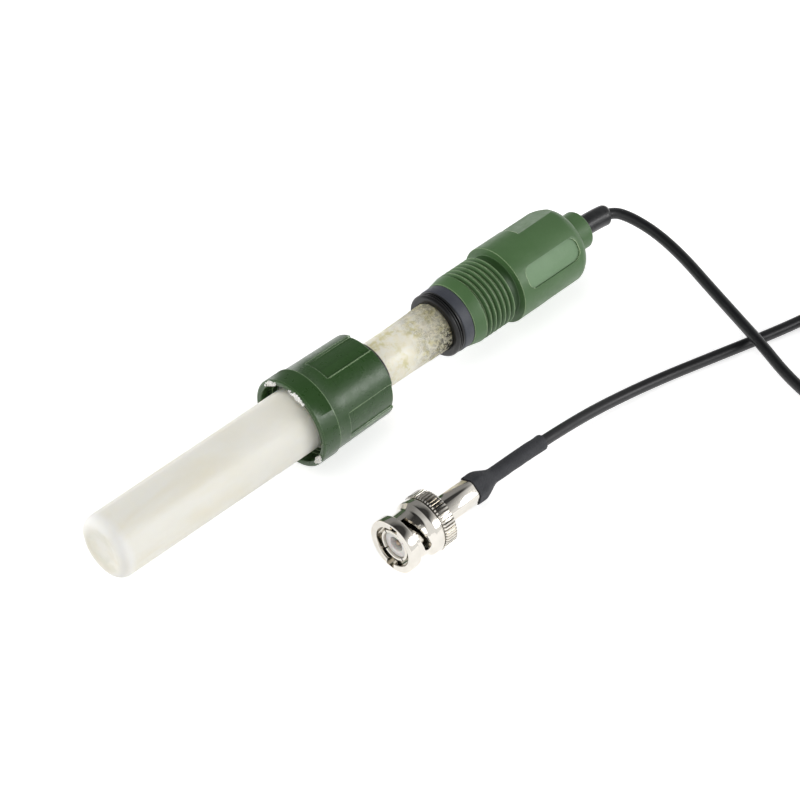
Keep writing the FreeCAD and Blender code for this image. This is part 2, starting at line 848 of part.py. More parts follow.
def make_shrink_sleeve():
    points = shrink_points()
    bend_radius = corner_radii(list(reversed(tail_route))[:3])
    narrow = cable_radius + shrink_wall
    wide = ferrule_across / 2.0 * ferrule_corner_ratio + shrink_over_ferrule
    sleeve = swept(points, bend_radius, narrow)
    taper_end = ferrule_end + shrink_taper_length
    flare = plug_turned([
        (shrink_start, 0), (shrink_start, wide + shrink_wall * 0.4, 0.2),
        (ferrule_end - 0.4, wide + shrink_wall * 0.4, 1.2), (taper_end, narrow + 0.02, 3.0),
        (taper_end + 1.0, narrow), (taper_end + 1.0, 0)])
    hollow = plug_rod(shrink_start - 1, ferrule_end, 2 * wide)
    sleeve = sleeve.fuse(flare).cut(hollow)
    bore_points = [(plug_front + shrink_start - 2.0, plug_side, plug_height)] + points[1:]
    return one_solid(sleeve.cut(swept(bore_points, bend_radius, cable_radius + glue_line)))


pieces = {
    "storage_tube": make_storage_tube,
    "cap_nut": make_cap_nut,
    "seal_bush": make_seal_bush,
    "shaft_tube": make_shaft_tube,
    "tip_plug": make_tip_plug,
    "ceramic_frit": make_ceramic_frit,
    "glass_stem": make_glass_stem,
    "platinum_pin": make_platinum_pin,
    "platinum_lead": make_platinum_lead,
    "reference_wire": make_reference_wire,
    "reference_gel": make_reference_gel,
    "gel_stopper": make_gel_stopper,
    "o_ring": make_o_ring,
    "seal_washer": make_seal_washer,
    "head_body": make_head_body,
    "head_potting": make_head_potting,
    "signal_wire": make_signal_wire,
    "shield_wire": make_shield_wire,
    "strain_sleeve": make_strain_sleeve,
    "cable_lead": make_cable_lead,
    "cable_coil": make_cable_coil,
    "cable_tail": make_cable_tail,
    "shrink_sleeve": make_shrink_sleeve,
    "crimp_ferrule": make_crimp_ferrule,
    "plug_body": make_plug_body,
    "plug_ring": make_plug_ring,
    "plug_gasket": make_plug_gasket,
    "wave_washer": make_wave_washer,
    "retaining_ring": make_retaining_ring,
    "plug_insulator": make_plug_insulator,
    "plug_pin": make_plug_pin,
}

os.makedirs("parts", exist_ok=True)
for name, make in pieces.items():
    solid = make()
    solid.exportStep("parts/" + name + ".step")
    print(name, "volume", round(solid.Volume, 2), "solids", len(solid.Solids), "valid", solid.isValid())

lead_points = lead_route + [coil_point(coil_entry_angle, cable_radius + 0.02)]
tail_points = [coil_point(coil_exit_angle, coil_top() - cable_radius - 0.02)] + tail_route
for label, points in (("lead", lead_points), ("tail", tail_points)):
    length = Part.Wire(rounded_edges(points, corner_radii(points), False)).Length
    print("cable", label, "length", round(length, 1))
    print("cable", label, "radii", [round(radius, 1) for radius in corner_radii(points)])
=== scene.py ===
# %% [markdown]
# A redox electrode lies on a pale table: a cream shaft in a green moulded head, a
# milky storage tube with a dark green cap nut over its tip, and a thin black cable
# that ends in a nickel bayonet plug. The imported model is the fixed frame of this
# scene. Each piece below takes its place from it and adds the looks.

# %% Load the frame
import json
import math
import random

import bmesh
import bpy
from mathutils import Matrix, Vector, noise


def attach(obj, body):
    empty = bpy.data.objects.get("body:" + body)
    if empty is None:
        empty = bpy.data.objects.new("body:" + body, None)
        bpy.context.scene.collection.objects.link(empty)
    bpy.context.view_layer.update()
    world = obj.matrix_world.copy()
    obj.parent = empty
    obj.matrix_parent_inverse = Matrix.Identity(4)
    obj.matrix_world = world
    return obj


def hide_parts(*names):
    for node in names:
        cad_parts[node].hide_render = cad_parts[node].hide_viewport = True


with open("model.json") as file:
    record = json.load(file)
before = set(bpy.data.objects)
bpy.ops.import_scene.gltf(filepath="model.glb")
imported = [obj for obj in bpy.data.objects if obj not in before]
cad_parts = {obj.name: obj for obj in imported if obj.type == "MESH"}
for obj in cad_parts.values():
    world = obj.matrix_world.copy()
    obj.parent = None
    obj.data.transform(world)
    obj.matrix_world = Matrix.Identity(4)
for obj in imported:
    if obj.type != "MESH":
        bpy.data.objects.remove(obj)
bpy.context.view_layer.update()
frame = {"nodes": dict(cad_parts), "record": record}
MM = 0.001
mounts = {mount["name"]: mount for mount in frame["record"]["mounts"]}
SHOULDER_X = mounts["head_shoulder"]["pos_m"][0] / MM
AXIS_Z = mounts["shaft"]["pos_m"][2] / MM
PLUG_X, PLUG_Y, PLUG_Z = [value / MM for value in mounts["plug_socket"]["pos_m"]]
print("shoulder at X", SHOULDER_X, "axis height", AXIS_Z, "plug front", PLUG_X, PLUG_Y, PLUG_Z)

# %% [markdown]
# The camera comes first, because it decides which side of every piece matters. The
# view looks down on the electrode from the tip's side with a long lens from 80 cm
# away, so the two ends of the tube look nearly as wide. Angle, distance and lens
# were worked out from the ellipses and the widths of the round parts.

# %% Camera
VIEW_AZIMUTH = math.radians(-44.474)
VIEW_ELEVATION = math.radians(44.216)
VIEW_DISTANCE = 798.9 * MM
VIEW_TARGET = Vector((11.882 * MM, -3.647 * MM, 0.0))
SENSOR_WIDTH = 36.0
FOCAL_IN_PICTURE_WIDTHS = 4.25


def add_object(name, data):
    """Put a camera, curve, mesh or lamp into the scene."""
    made = bpy.data.objects.new(name, data)
    bpy.context.scene.collection.objects.link(made)
    return made


back = Vector((
    math.sin(VIEW_AZIMUTH) * math.cos(VIEW_ELEVATION),
    -math.cos(VIEW_AZIMUTH) * math.cos(VIEW_ELEVATION),
    math.sin(VIEW_ELEVATION),
))
camera_data = bpy.data.cameras.new("camera")
camera_data.sensor_width = SENSOR_WIDTH
camera_data.lens = SENSOR_WIDTH * FOCAL_IN_PICTURE_WIDTHS
camera_data.clip_start = 0.05
camera_data.clip_end = 20.0
camera = add_object("camera", camera_data)
camera.location = VIEW_TARGET + back * VIEW_DISTANCE
camera.rotation_mode = "QUATERNION"
camera.rotation_quaternion = (-back).to_track_quat("-Z", "Y")
bpy.context.scene.camera = camera
print("lens", round(camera_data.lens, 1), "mm, camera at", [round(value, 3) for value in camera.location])

# %% [markdown]
# The cable is one metre of thin coaxial lead. It could be a mesh tube, but a curve
# with a round bevel keeps one clean line from end to end. Its control points are the
# ones that the solid model bends its tube by: out of the sleeve, over the plug's
# strand in a long low hump, into a small coil of the length that is put away, and
# back to the plug. A quadratic spline cuts each corner a little, as a springy lead
# does.

# %% Cable
CABLE_DIAMETER = 2.8 * MM
CABLE_RADIUS = CABLE_DIAMETER / 2.0
LEAD_ROUTE = [
    (0.0734, 0.0, 0.01142), (0.0794, 0.0, 0.01142), (0.0874, -0.0006, 0.0108),
    (0.0902, -0.0049, 0.0096), (0.0916, -0.0122, 0.0081), (0.0908, -0.0215, 0.0068),
    (0.0883, -0.0318, 0.0059), (0.0856, -0.0426, 0.0053), (0.0824, -0.0540, 0.0052),
    (0.0796, -0.0655, 0.0035), (0.0791, -0.0778, 0.0019), (0.0833, -0.0894, 0.00145),
    (0.0923, -0.0974, 0.00142),
]
TAIL_ROUTE = [
    (0.1192, -0.0626, 0.0037), (0.1116, -0.0566, 0.0022), (0.1022, -0.0534, 0.0015),
    (0.0924, -0.0513, 0.00142), (0.0820, -0.0485, 0.00142), (0.0713, -0.0456, 0.00142),
    (0.0605, -0.0428, 0.0015), (0.0493, -0.0409, 0.0021), (0.0372, -0.0402, 0.0037),
    (0.0238, -0.0407, 0.0058), (0.0100, -0.0411, 0.00715), (-0.00625, -0.0411, 0.00715),
]
COIL_CENTRE = Vector((0.107, -0.081, 0.0))
COIL_OUTER_RADIUS = 21.1 * MM
COIL_TURN_PITCH = 2.9 * MM
COIL_ENTRY_ANGLE = math.radians(-105.0)
COIL_EXIT_ANGLE = math.radians(35.0)
COIL_FULL_TURNS = 7
CLIMB_TURNS = 0.25
POINTS_PER_TURN = 16
LYING_HEIGHT = CABLE_RADIUS + 0.02 * MM


def held(value):
    """The value, kept between 0 and 1."""
    return min(max(value, 0.0), 1.0)


def coil_points():
    """Turns that wind inwards on the floor and outwards again on top of those."""
    sweep = COIL_FULL_TURNS * math.tau + COIL_EXIT_ANGLE - COIL_ENTRY_ANGLE
    turns = sweep / math.tau
    count = round(turns * POINTS_PER_TURN)
    corner_cut = 1.0 / math.cos(math.pi / POINTS_PER_TURN)
    points = []
    for index in range(count + 1):
        wound = turns * index / count
        inward = min(wound, turns - wound)
        radius = (COIL_OUTER_RADIUS - COIL_TURN_PITCH * inward) * corner_cut
        climb = held((wound - turns / 2.0) / CLIMB_TURNS + 0.5)
        angle = COIL_ENTRY_ANGLE + math.tau * wound
        place = Vector((radius * math.cos(angle), radius * math.sin(angle), 0.0))
        points.append(COIL_CENTRE + place + Vector((0, 0, LYING_HEIGHT + climb * CABLE_DIAMETER)))
    return points


def spline_curve(name, points, bevel):
    """An open quadratic spline that starts and ends at its outer points."""
    data = bpy.data.curves.new(name, "CURVE")
    data.dimensions = "3D"
    spline = data.splines.new("NURBS")
    spline.points.add(len(points) - 1)
    for target, point in zip(spline.points, points):
        target.co = (*point, 1.0)
    spline.order_u = 3
    spline.use_endpoint_u = True
    spline.resolution_u = 8
    data.bevel_depth = bevel
    data.bevel_resolution = 6
    data.use_fill_caps = True
    return add_object(name, data)


cable_points = LEAD_ROUTE + coil_points() + TAIL_ROUTE
cable = spline_curve("cable", cable_points, CABLE_RADIUS)
centre_curve = spline_curve("cable_centre_line", cable_points, 0.0)
bpy.context.view_layer.update()
centre_line = [vertex.co / MM for vertex in bpy.data.meshes.new_from_object(centre_curve).vertices]
bpy.data.objects.remove(centre_curve)
measured = sum((far - near).length for near, far in zip(centre_line, centre_line[1:]))
print("cable length in mm", round(measured, 1), "from", len(cable_points), "points")

# %% [markdown]
# Every finish is a node material. A small bench class lays the nodes down: it makes
# a node, sets its values by name and links sockets, so that each finish below reads
# as a short recipe.

# %% Material bench
class Bench:
    """The node tree of a material, a node group or the world, with short calls to fill it."""

    def __init__(self, tree):
        self.tree = tree
        tree.nodes.clear()

    def node(self, kind, inputs=None, **settings):
        made = self.tree.nodes.new(kind)
        for name, value in settings.items():
            setattr(made, name, value)
        for name, value in (inputs or {}).items():
            self.feed(made.inputs[name], value)
        return made

    def feed(self, socket, value):
        if isinstance(value, bpy.types.NodeSocket):
            self.tree.links.new(value, socket)
        else:
            socket.default_value = value

    def blend(self, mask, first, second):
        """A colour that goes from the first to the second where the mask is 1."""
        mix = self.node("ShaderNodeMix", data_type="RGBA")
        sockets = mix.inputs["Factor"], mix.inputs[6], mix.inputs[7]
        for socket, value in zip(sockets, (mask, first, second)):
            plain = isinstance(value, (bpy.types.NodeSocket, float))
            self.feed(socket, value if plain else (*value, 1.0))
        return mix.outputs[2]

    def maths(self, operation, first, second=0.0):
        return self.node("ShaderNodeMath", {0: first, 1: second}, operation=operation).outputs[0]

    def times(self, first, second):
        return self.maths("MULTIPLY", first, second)

    def ramp(self, value, low, high, start=0.0, end=1.0):
        """The value, stretched from low..high to start..end and held there."""
        names = ("Value", "From Min", "From Max", "To Min", "To Max")
        return self.node("ShaderNodeMapRange", dict(zip(names, (value, low, high, start, end)))).outputs[0]

    def place(self, scale=(1.0, 1.0, 1.0)):
        """Object coordinates in millimetres, squeezed by a scale for stretched patterns."""
        where = self.node("ShaderNodeTexCoord").outputs["Object"]
        size = tuple(value / MM for value in scale)
        return self.node("ShaderNodeMapping", {"Vector": where, "Scale": size}).outputs[0]

    def from_axis(self, place):
        """The X, Y and Z of a place, and its distance from the electrode's axis."""
        parts = self.node("ShaderNodeSeparateXYZ", {"Vector": place}).outputs
        height = self.maths("SUBTRACT", parts["Z"], AXIS_Z)
        across = self.node("ShaderNodeCombineXYZ", {"Y": parts["Y"], "Z": height}).outputs[0]
        return parts, self.node("ShaderNodeVectorMath", {0: across}, operation="LENGTH").outputs["Value"]


def node_group(name, inputs, output):
    """A node group with one output. A None among its inputs stands for a place."""
    group = bpy.data.node_groups.new(name, "ShaderNodeTree")
    for label, value in inputs.items():
        kind = "NodeSocketVector" if value is None else "NodeSocketFloat"
        socket = group.interface.new_socket(name=label, in_out="INPUT", socket_type=kind)
        if value is not None:
            socket.default_value = value
    group.interface.new_socket(name=output, in_out="OUTPUT", socket_type="NodeSocketFloat")
    bench = Bench(group)
    return group, bench, bench.node("NodeGroupInput").outputs, bench.node("NodeGroupOutput").inputs


def finish(slot, metallic=0.0, roughness=0.4, **sockets):
    """A new material named for its slot: its bench and its shader node."""
    material = bpy.data.materials.new(slot)
    material.use_nodes = True
    bench = Bench(material.node_tree)
    shader = bench.node("ShaderNodeBsdfPrincipled")
    shader.inputs["Metallic"].default_value = metallic
    shader.inputs["Roughness"].default_value = roughness
    for name, value in sockets.items():
        shader.inputs[name.replace("_", " ")].default_value = value
    bench.node("ShaderNodeOutputMaterial", {"Surface": shader.outputs[0]})
    finishes[slot] = material
    return bench, shader


finishes = {}

# %% [markdown]
# Four effects come back in many finishes. Clouds are soft patches of another tone,
# as in milky plastic or handled moulding. Specks are the small dark or pale dots of
# dust, salt and grit. Grain is the very fine relief of a moulded or drawn surface.
# Edges are the worn corners, which also carry a painted highlight, and the dirty
# hollows, which also carry painted shade: the lathe below stores on every piece where
# they are, and a Bevel node narrows them to thin lines.
# Each one is a node group that puts out a mask or a height, never a shader.

# %% Shared effects
SPECK_CORE = 0.6
FINE_GRAIN_SCALE = 4.0
EDGE_WIDTH = 0.3 * MM
EDGE_TURN = (0.95, 0.995)
EDGE_STORED = (0.1, 0.5)


def make_clouds():
    """Soft patches: noise that is cut off below one level and full above another."""
    group, bench, given, out = node_group(
        "clouds", {"Place": None, "Scale": 1.0, "Low": 0.4, "High": 0.6}, "Mask")
    field = bench.node("ShaderNodeTexNoise", {
        "Vector": given["Place"], "Scale": given["Scale"], "Detail": 3.0, "Distortion": 0.4})
    bench.feed(out["Mask"], bench.ramp(field.outputs["Fac"], given["Low"], given["High"]))
    return group


def make_specks():
    """Small dots: the middles of some cells, chosen by the cells' random colour."""
    group, bench, given, out = node_group(
        "specks", {"Place": None, "Scale": 1.0, "Size": 0.2, "Share": 0.5}, "Mask")
    cells = bench.node("ShaderNodeTexVoronoi", {
        "Vector": given["Place"], "Scale": given["Scale"], "Randomness": 1.0}).outputs
    dots = bench.ramp(cells["Distance"], bench.times(given["Size"], SPECK_CORE), given["Size"], 1.0, 0.0)
    chosen = bench.node("ShaderNodeSeparateColor", {"Color": cells["Color"]}).outputs["Red"]
    bench.feed(out["Mask"], bench.times(dots, bench.maths("LESS_THAN", chosen, given["Share"])))
    return group


def make_grain():
    """Fine relief: two sizes of noise laid over each other, as a height."""
    group, bench, given, out = node_group("grain", {"Place": None, "Scale": 4.0, "Fine Share": 0.5}, "Height")
    coarse = bench.node("ShaderNodeTexNoise", {
        "Vector": given["Place"], "Scale": given["Scale"], "Detail": 2.0}).outputs["Fac"]
    fine = bench.node("ShaderNodeTexNoise", {
        "Vector": given["Place"], "Scale": bench.times(given["Scale"], FINE_GRAIN_SCALE),
        "Detail": 1.0}).outputs["Fac"]
    bench.feed(out["Height"], bench.maths("ADD", coarse, bench.times(fine, given["Fine Share"])))
    return group


def make_edges():
    """Thin lines: places where the surface turns sharply and an edge is stored."""
    group, bench, given, out = node_group("edges", {"Stored": 0.0}, "Mask")
    rounded = bench.node("ShaderNodeBevel", {"Radius": EDGE_WIDTH}, samples=6).outputs["Normal"]
    surface = bench.node("ShaderNodeNewGeometry").outputs["Normal"]
    alike = bench.node("ShaderNodeVectorMath", {0: rounded, 1: surface},
                       operation="DOT_PRODUCT").outputs["Value"]
    turning = bench.ramp(alike, *EDGE_TURN, 1.0, 0.0)
    bench.feed(out["Mask"], bench.times(turning, bench.ramp(given["Stored"], *EDGE_STORED)))
    return group


CLOUDS, SPECKS, GRAIN, EDGES = make_clouds(), make_specks(), make_grain(), make_edges()


def effect(bench, group, **values):
    """The mask or height that a shared effect gives at this place in a finish."""
    inputs = {name.replace("_", " "): value for name, value in values.items()}
    return bench.node("ShaderNodeGroup", inputs, node_tree=group).outputs[0]


def edge_place(bench, attribute):
    """The edges that a piece has stored under a name, as a mask."""
    stored = bench.node("ShaderNodeAttribute", attribute_name=attribute, attribute_type="GEOMETRY")
    return effect(bench, EDGES, Stored=stored.outputs["Fac"])


def relief(bench, shader, height, depth_mm):
    """Give a finish a bump of this depth."""
    bump = bench.node("ShaderNodeBump", {"Height": height, "Strength": 1.0, "Distance": depth_mm * MM})
    bench.feed(shader.inputs["Normal"], bump.outputs[0])


def colour(red, green, blue):
    """A colour as it reads on a screen, 0 to 255, turned into what shaders work with."""
    return tuple(((value / 255.0 + 0.055) / 1.055) ** 2.4 for value in (red, green, blue))


print("effects:", ", ".join(group.name for group in (CLOUDS, SPECKS, GRAIN, EDGES)))

# %% [markdown]
# The storage tube is soft milky plastic. Light goes a few millimetres into it,
# so it gets subsurface scattering, with warm patches where old solution has stained
# it. The shaft is a harder cream plastic. Towards the seal it is crusted with dried
# salt: pale flakes, yellow stains, and dirt that fills the fine wrinkles between
# them. Both read their place from Object coordinates, in millimetres. The salt on
# the nut's rim is plain white with a little grey in it.

# %% Milky tube and cream shaft
MILK = colour(240, 237, 226)
MILK_WARM = colour(234, 226, 204)
MILK_CLEAR = colour(244, 243, 240)
MILK_SHADE = colour(222, 219, 202)
TUBE_TIP_X = SHOULDER_X - 123.7
CREAM = colour(240, 234, 214)
CREAM_STAIN = colour(208, 200, 138)
SALT = colour(242, 239, 226)
DIRT = colour(58, 52, 28)
SOOT = colour(34, 30, 22)
WHITE_SALT = colour(250, 250, 248)
CRUST_START_X = SHOULDER_X - 34.3
CRUST_FULL_X = SHOULDER_X - 21.8

bench, shader = finish("tube_white", roughness=0.42, Subsurface_Weight=0.4, Subsurface_Scale=0.003)
shader.inputs["Subsurface Radius"].default_value = (1.0, 0.9, 0.7)
place = bench.place()
parts, radius = bench.from_axis(place)
stain = effect(bench, CLOUDS, Place=bench.place((0.35, 1.0, 1.0)), Scale=0.11, Low=0.44, High=0.68)
towards_end = bench.ramp(parts["X"], TUBE_TIP_X + 45.0, TUBE_TIP_X + 12.0, 0.35, 1.0)
milky = bench.blend(bench.times(stain, towards_end), MILK, MILK_WARM)
at_end = bench.ramp(parts["X"], TUBE_TIP_X + 3.4, TUBE_TIP_X + 1.6)
rim = bench.times(at_end, bench.ramp(radius, 4.8, 7.0))
floor_mark = effect(bench, CLOUDS, Place=place, Scale=0.22, Low=0.42, High=0.66)
inner = bench.times(bench.ramp(parts["X"], TUBE_TIP_X + 1.4, TUBE_TIP_X + 0.8),
                    bench.times(bench.ramp(radius, 5.9, 5.4), floor_mark))
milky = bench.blend(bench.times(rim, 0.65), milky, MILK_CLEAR)
milky = bench.blend(bench.times(inner, 0.6), milky, MILK_SHADE)
bench.feed(shader.inputs["Base Color"], milky)
relief(bench, shader, effect(bench, GRAIN, Place=place, Scale=0.25, Fine_Share=0.1), 0.15)

bench, shader = finish("shaft_cream", roughness=0.35, Subsurface_Weight=0.2, Subsurface_Scale=0.0015)
shader.inputs["Subsurface Radius"].default_value = (1.0, 0.8, 0.5)
place = bench.place()
shaft_place = bench.node("ShaderNodeSeparateXYZ", {"Vector": place}).outputs
nearness = bench.ramp(shaft_place["X"], CRUST_START_X, CRUST_FULL_X)
stained = effect(bench, CLOUDS, Place=place, Scale=0.3, Low=0.46, High=0.64)
base = bench.blend(bench.times(stained, 0.7), CREAM, CREAM_STAIN)
flakes = effect(bench, CLOUDS, Place=place, Scale=0.8, Low=0.44, High=0.58)
base = bench.blend(bench.times(flakes, 0.8), base, SALT)
wrinkles = bench.node("ShaderNodeTexNoise", {
    "Vector": place, "Scale": 1.8, "Detail": 4.0, "Roughness": 0.7, "Distortion": 2.4}).outputs["Fac"]
line = bench.maths("ABSOLUTE", bench.maths("SUBTRACT", wrinkles, 0.5))
lines = bench.ramp(line, 0.014, 0.06, 1.0, 0.0)
patchy = effect(bench, CLOUDS, Place=place, Scale=0.42, Low=0.40, High=0.56)
spread = bench.maths("MAXIMUM", bench.times(patchy, bench.ramp(nearness, 0.05, 0.5)),
                     bench.ramp(nearness, 0.55, 0.95))
low_side = bench.ramp(shaft_place["Z"], AXIS_Z + 5.0, AXIS_Z + 1.5, 0.6, 1.0)
dirty = bench.times(bench.times(lines, spread), low_side)
base = bench.blend(bench.times(bench.ramp(nearness, 0.5, 1.0), 0.3), base, CREAM_STAIN)
base = bench.blend(bench.times(dirty, 0.9), base, DIRT)
soot = effect(bench, CLOUDS, Place=place, Scale=1.4, Low=0.5, High=0.55)
sooted = bench.times(bench.ramp(nearness, 0.5, 1.0), bench.ramp(low_side, 0.6, 1.0, 0.3, 1.0))
base = bench.blend(bench.times(soot, sooted), base, SOOT)
bench.feed(shader.inputs["Base Color"], base)
bench.feed(shader.inputs["Roughness"], bench.ramp(nearness, 0.0, 1.0, 0.36, 0.75))
relief(bench, shader, bench.times(wrinkles, nearness), 0.5)

bench, shader = finish("salt_white", roughness=0.7)
place = bench.place()
grey = effect(bench, CLOUDS, Place=place, Scale=2.5, Low=0.45, High=0.6)
bench.feed(shader.inputs["Base Color"], bench.blend(bench.times(grey, 0.5), WHITE_SALT, SALT))
relief(bench, shader, effect(bench, GRAIN, Place=place, Scale=5.0, Fine_Share=0.5), 0.1)

# %% [markdown]
# The two green mouldings are different plastics. The cap nut is dark and glossy,
# with a fine grain and dust. The head is lighter and satin, with painted shade in the
# troughs between its threads, and its sunken panel is left bare in a paler tone. Pale
# worn edges also carry a painted highlight, and grime in the hollows also carries
# painted shade. Roughness changes softly over both, because handling polishes a
# moulding unevenly.

# %% Green plastics
NUT_GREEN = colour(42, 72, 32)
# Pale edge tones: wear on outer edges, and a painted highlight where a rounded edge catches light.
NUT_EDGE_WEAR_AND_HIGHLIGHT = colour(168, 194, 152)
HEAD_GREEN = colour(72, 104, 62)
HEAD_EDGE_WEAR_AND_HIGHLIGHT = colour(190, 212, 168)
PANEL_GREEN = colour(114, 144, 108)
DUST = colour(104, 126, 96)
# Near-black green for grime specks, and for hollows, where it is grime with painted shade.
GRIME_AND_HOLLOW_SHADE = colour(18, 30, 16)
# Painted shade for the troughs between the head's thread crests.
TROUGH_PAINTED_SHADE = colour(34, 62, 26)
SHADED_TROUGHS = (SHOULDER_X - 12.1, SHOULDER_X, 8.1, 8.85)
TROUGH_FADE = 0.3


def moulded_green(slot, base, second, edge, roughness, dust, grain_mm, deep=None):
    """A moulded plastic: two near tones, worn edges with a painted highlight, uneven gloss, dust, and grime
    with painted shade in hollows.

    Deep names a stretch along X and the two radii between which its troughs get a darker painted shade.
    """
    bench, shader = finish(slot)
    place = bench.place()
    tone = effect(bench, CLOUDS, Place=place, Scale=0.15, Low=0.35, High=0.7)
    body = bench.blend(bench.times(tone, 0.5), base, second)
    if deep is not None:
        # Painted shade: between the crests the troughs darken the deeper they lie.
        parts, radius = bench.from_axis(place)
        start, end, bottom, top = deep
        along = bench.times(bench.ramp(parts["X"], start, start + TROUGH_FADE),
                            bench.ramp(parts["X"], end, end - TROUGH_FADE))
        depth = bench.ramp(radius, top, bottom, 0.0, 0.85)
        body = bench.blend(bench.times(along, depth), body, TROUGH_PAINTED_SHADE)
    specks_of_grime = effect(bench, SPECKS, Place=place, Scale=1.2, Size=0.08, Share=dust * 0.4)
    body = bench.blend(bench.times(specks_of_grime, 0.35), body, GRIME_AND_HOLLOW_SHADE)
    # Hollows darken to grime with painted shade; outer edges pale with wear and a painted highlight.
    body = bench.blend(bench.times(edge_place(bench, "hollow"), 0.9), body, GRIME_AND_HOLLOW_SHADE)
    body = bench.blend(bench.times(edge_place(bench, "worn"), 0.95), body, edge)
    dots = effect(bench, SPECKS, Place=place, Scale=1.6, Size=0.16, Share=dust)
    bench.feed(shader.inputs["Base Color"], bench.blend(bench.times(dots, 0.5), body, DUST))
    gloss = effect(bench, CLOUDS, Place=place, Scale=0.5, Low=0.3, High=0.7)
    rough = bench.ramp(gloss, 0.0, 1.0, roughness - 0.05, roughness + 0.06)
    bench.feed(shader.inputs["Roughness"], bench.maths("ADD", rough, bench.times(dots, 0.3)))
    relief(bench, shader, effect(bench, GRAIN, Place=place, Scale=1.1, Fine_Share=0.35), grain_mm)


moulded_green("nut_green", NUT_GREEN, colour(54, 82, 44), NUT_EDGE_WEAR_AND_HIGHLIGHT, 0.3, 0.10, 0.03)
moulded_green("head_green", HEAD_GREEN, colour(84, 116, 74), HEAD_EDGE_WEAR_AND_HIGHLIGHT, 0.42, 0.03, 0.03, SHADED_TROUGHS)
moulded_green("label_panel", PANEL_GREEN, colour(104, 134, 98), PANEL_GREEN, 0.55, 0.02, 0.05)

# %% [markdown]
# The dark parts differ only in how they shine. The cable jacket and the seal rings
# are smooth and catch sharp highlights, the washer is a blue-grey fibre plastic, and
# the shrunk sleeve is dull, with the dust and the faint wrinkles of heated tubing.

# %% Rubber, washer, sleeves and cable
def dark_finish(slot, base, dusty, roughness, dust, grain_scale, grain_mm, coat=0.0):
    """A dark surface with pale dust in its relief and, for a jacket, a thin gloss coat."""
    bench, shader = finish(slot, roughness=roughness, Coat_Weight=coat, Coat_Roughness=0.25)
    place = bench.place()
    dots = effect(bench, SPECKS, Place=place, Scale=2.2, Size=0.2, Share=dust)
    tone = effect(bench, CLOUDS, Place=place, Scale=0.4, Low=0.4, High=0.75)
    worn = bench.maths("MAXIMUM", bench.times(tone, 0.35), bench.times(dots, 0.8))
    bench.feed(shader.inputs["Base Color"], bench.blend(worn, base, dusty))
    relief(bench, shader, effect(bench, GRAIN, Place=place, Scale=grain_scale, Fine_Share=0.4), grain_mm)


dark_finish("rubber_black", colour(12, 12, 14), colour(34, 34, 34), 0.36, 0.04, 1.5, 0.02)
dark_finish("washer_slate", colour(58, 61, 69), colour(74, 77, 85), 0.5, 0.03, 3.0, 0.03)
dark_finish("sleeve_black", colour(28, 29, 31), colour(50, 51, 52), 0.3, 0.06, 1.2, 0.05)
dark_finish("cable_black", colour(18, 19, 21), colour(36, 37, 39), 0.4, 0.03, 0.8, 0.02, 0.1)
dark_finish("shrink_grey", colour(46, 47, 51), colour(70, 71, 75), 0.66, 0.14, 2.6, 0.14)

# %% [markdown]
# The plug is bright nickel plate. A mirror metal shows only its surroundings, so its
# finish is plain, with a light haze of fingermarks and dark hollows, whose dark tone is
# grime and painted shade, and the contrast comes from the studio's dark and bright sides.
# Inside it are a white insulator and a gilt pin. The small inner parts of the electrode
# get plain finishes.

# %% Metals and small parts
# Dark tone for hollows: grime and painted shade.
HOLLOW_GRIME_AND_SHADE = colour(38, 36, 33)


def metal(slot, tone, haze_tone, roughness, haze=0.2):
    """A plated or drawn metal with uneven haze and hairline polish marks."""
    bench, shader = finish(slot, metallic=1.0)
    place = bench.place()
    cloud = effect(bench, CLOUDS, Place=place, Scale=0.35, Low=0.35, High=0.75)
    plate = bench.blend(bench.times(cloud, 0.4), tone, haze_tone)
    # Hollows darken with grime and painted shade.
    dark_hollow_mask = bench.times(edge_place(bench, "hollow"), 0.85)
    bench.feed(shader.inputs["Base Color"], bench.blend(dark_hollow_mask, plate, HOLLOW_GRIME_AND_SHADE))
    bench.feed(shader.inputs["Roughness"], bench.ramp(cloud, 0.0, 1.0, roughness, roughness + haze * 0.5))
    drawn = bench.place((0.4, 1.0, 1.0))
    relief(bench, shader, effect(bench, GRAIN, Place=drawn, Scale=2.0, Fine_Share=0.3), 0.006)


def plain_part(slot, base, second, roughness, **sockets):
    """A small plain part with a little cloud in its tone."""
    bench, shader = finish(slot, roughness=roughness, **sockets)
    place = bench.place()
    cloud = effect(bench, CLOUDS, Place=place, Scale=0.6, Low=0.35, High=0.7)
    bench.feed(shader.inputs["Base Color"], bench.blend(cloud, base, second))
    relief(bench, shader, effect(bench, GRAIN, Place=place, Scale=2.0, Fine_Share=0.3), 0.02)


metal("nickel", colour(226, 222, 214), colour(208, 202, 190), 0.07)
metal("spring_steel", colour(176, 176, 174), colour(150, 150, 150), 0.25)
metal("platinum", colour(214, 212, 206), colour(196, 194, 188), 0.18)
metal("silver", colour(150, 146, 142), colour(120, 116, 112), 0.4)
metal("gold", colour(168, 152, 132), colour(140, 116, 92), 0.3)
metal("copper", colour(196, 126, 92), colour(170, 104, 76), 0.3)
plain_part("insulator_white", colour(236, 233, 230), colour(222, 218, 214), 0.35,
           Subsurface_Weight=0.1, Subsurface_Scale=0.001)
plain_part("silicone", colour(150, 152, 142), colour(136, 138, 128), 0.5)
plain_part("tip_epoxy", colour(206, 198, 172), colour(190, 180, 150), 0.3)
plain_part("frit_ceramic", colour(232, 228, 218), colour(214, 208, 196), 0.8)
plain_part("gel", colour(222, 216, 184), colour(206, 198, 160), 0.3)
plain_part("potting", colour(58, 58, 58), colour(44, 44, 44), 0.35)
plain_part("stem_glass", colour(236, 242, 240), colour(228, 238, 236), 0.05,
           Transmission_Weight=0.9, IOR=1.5)
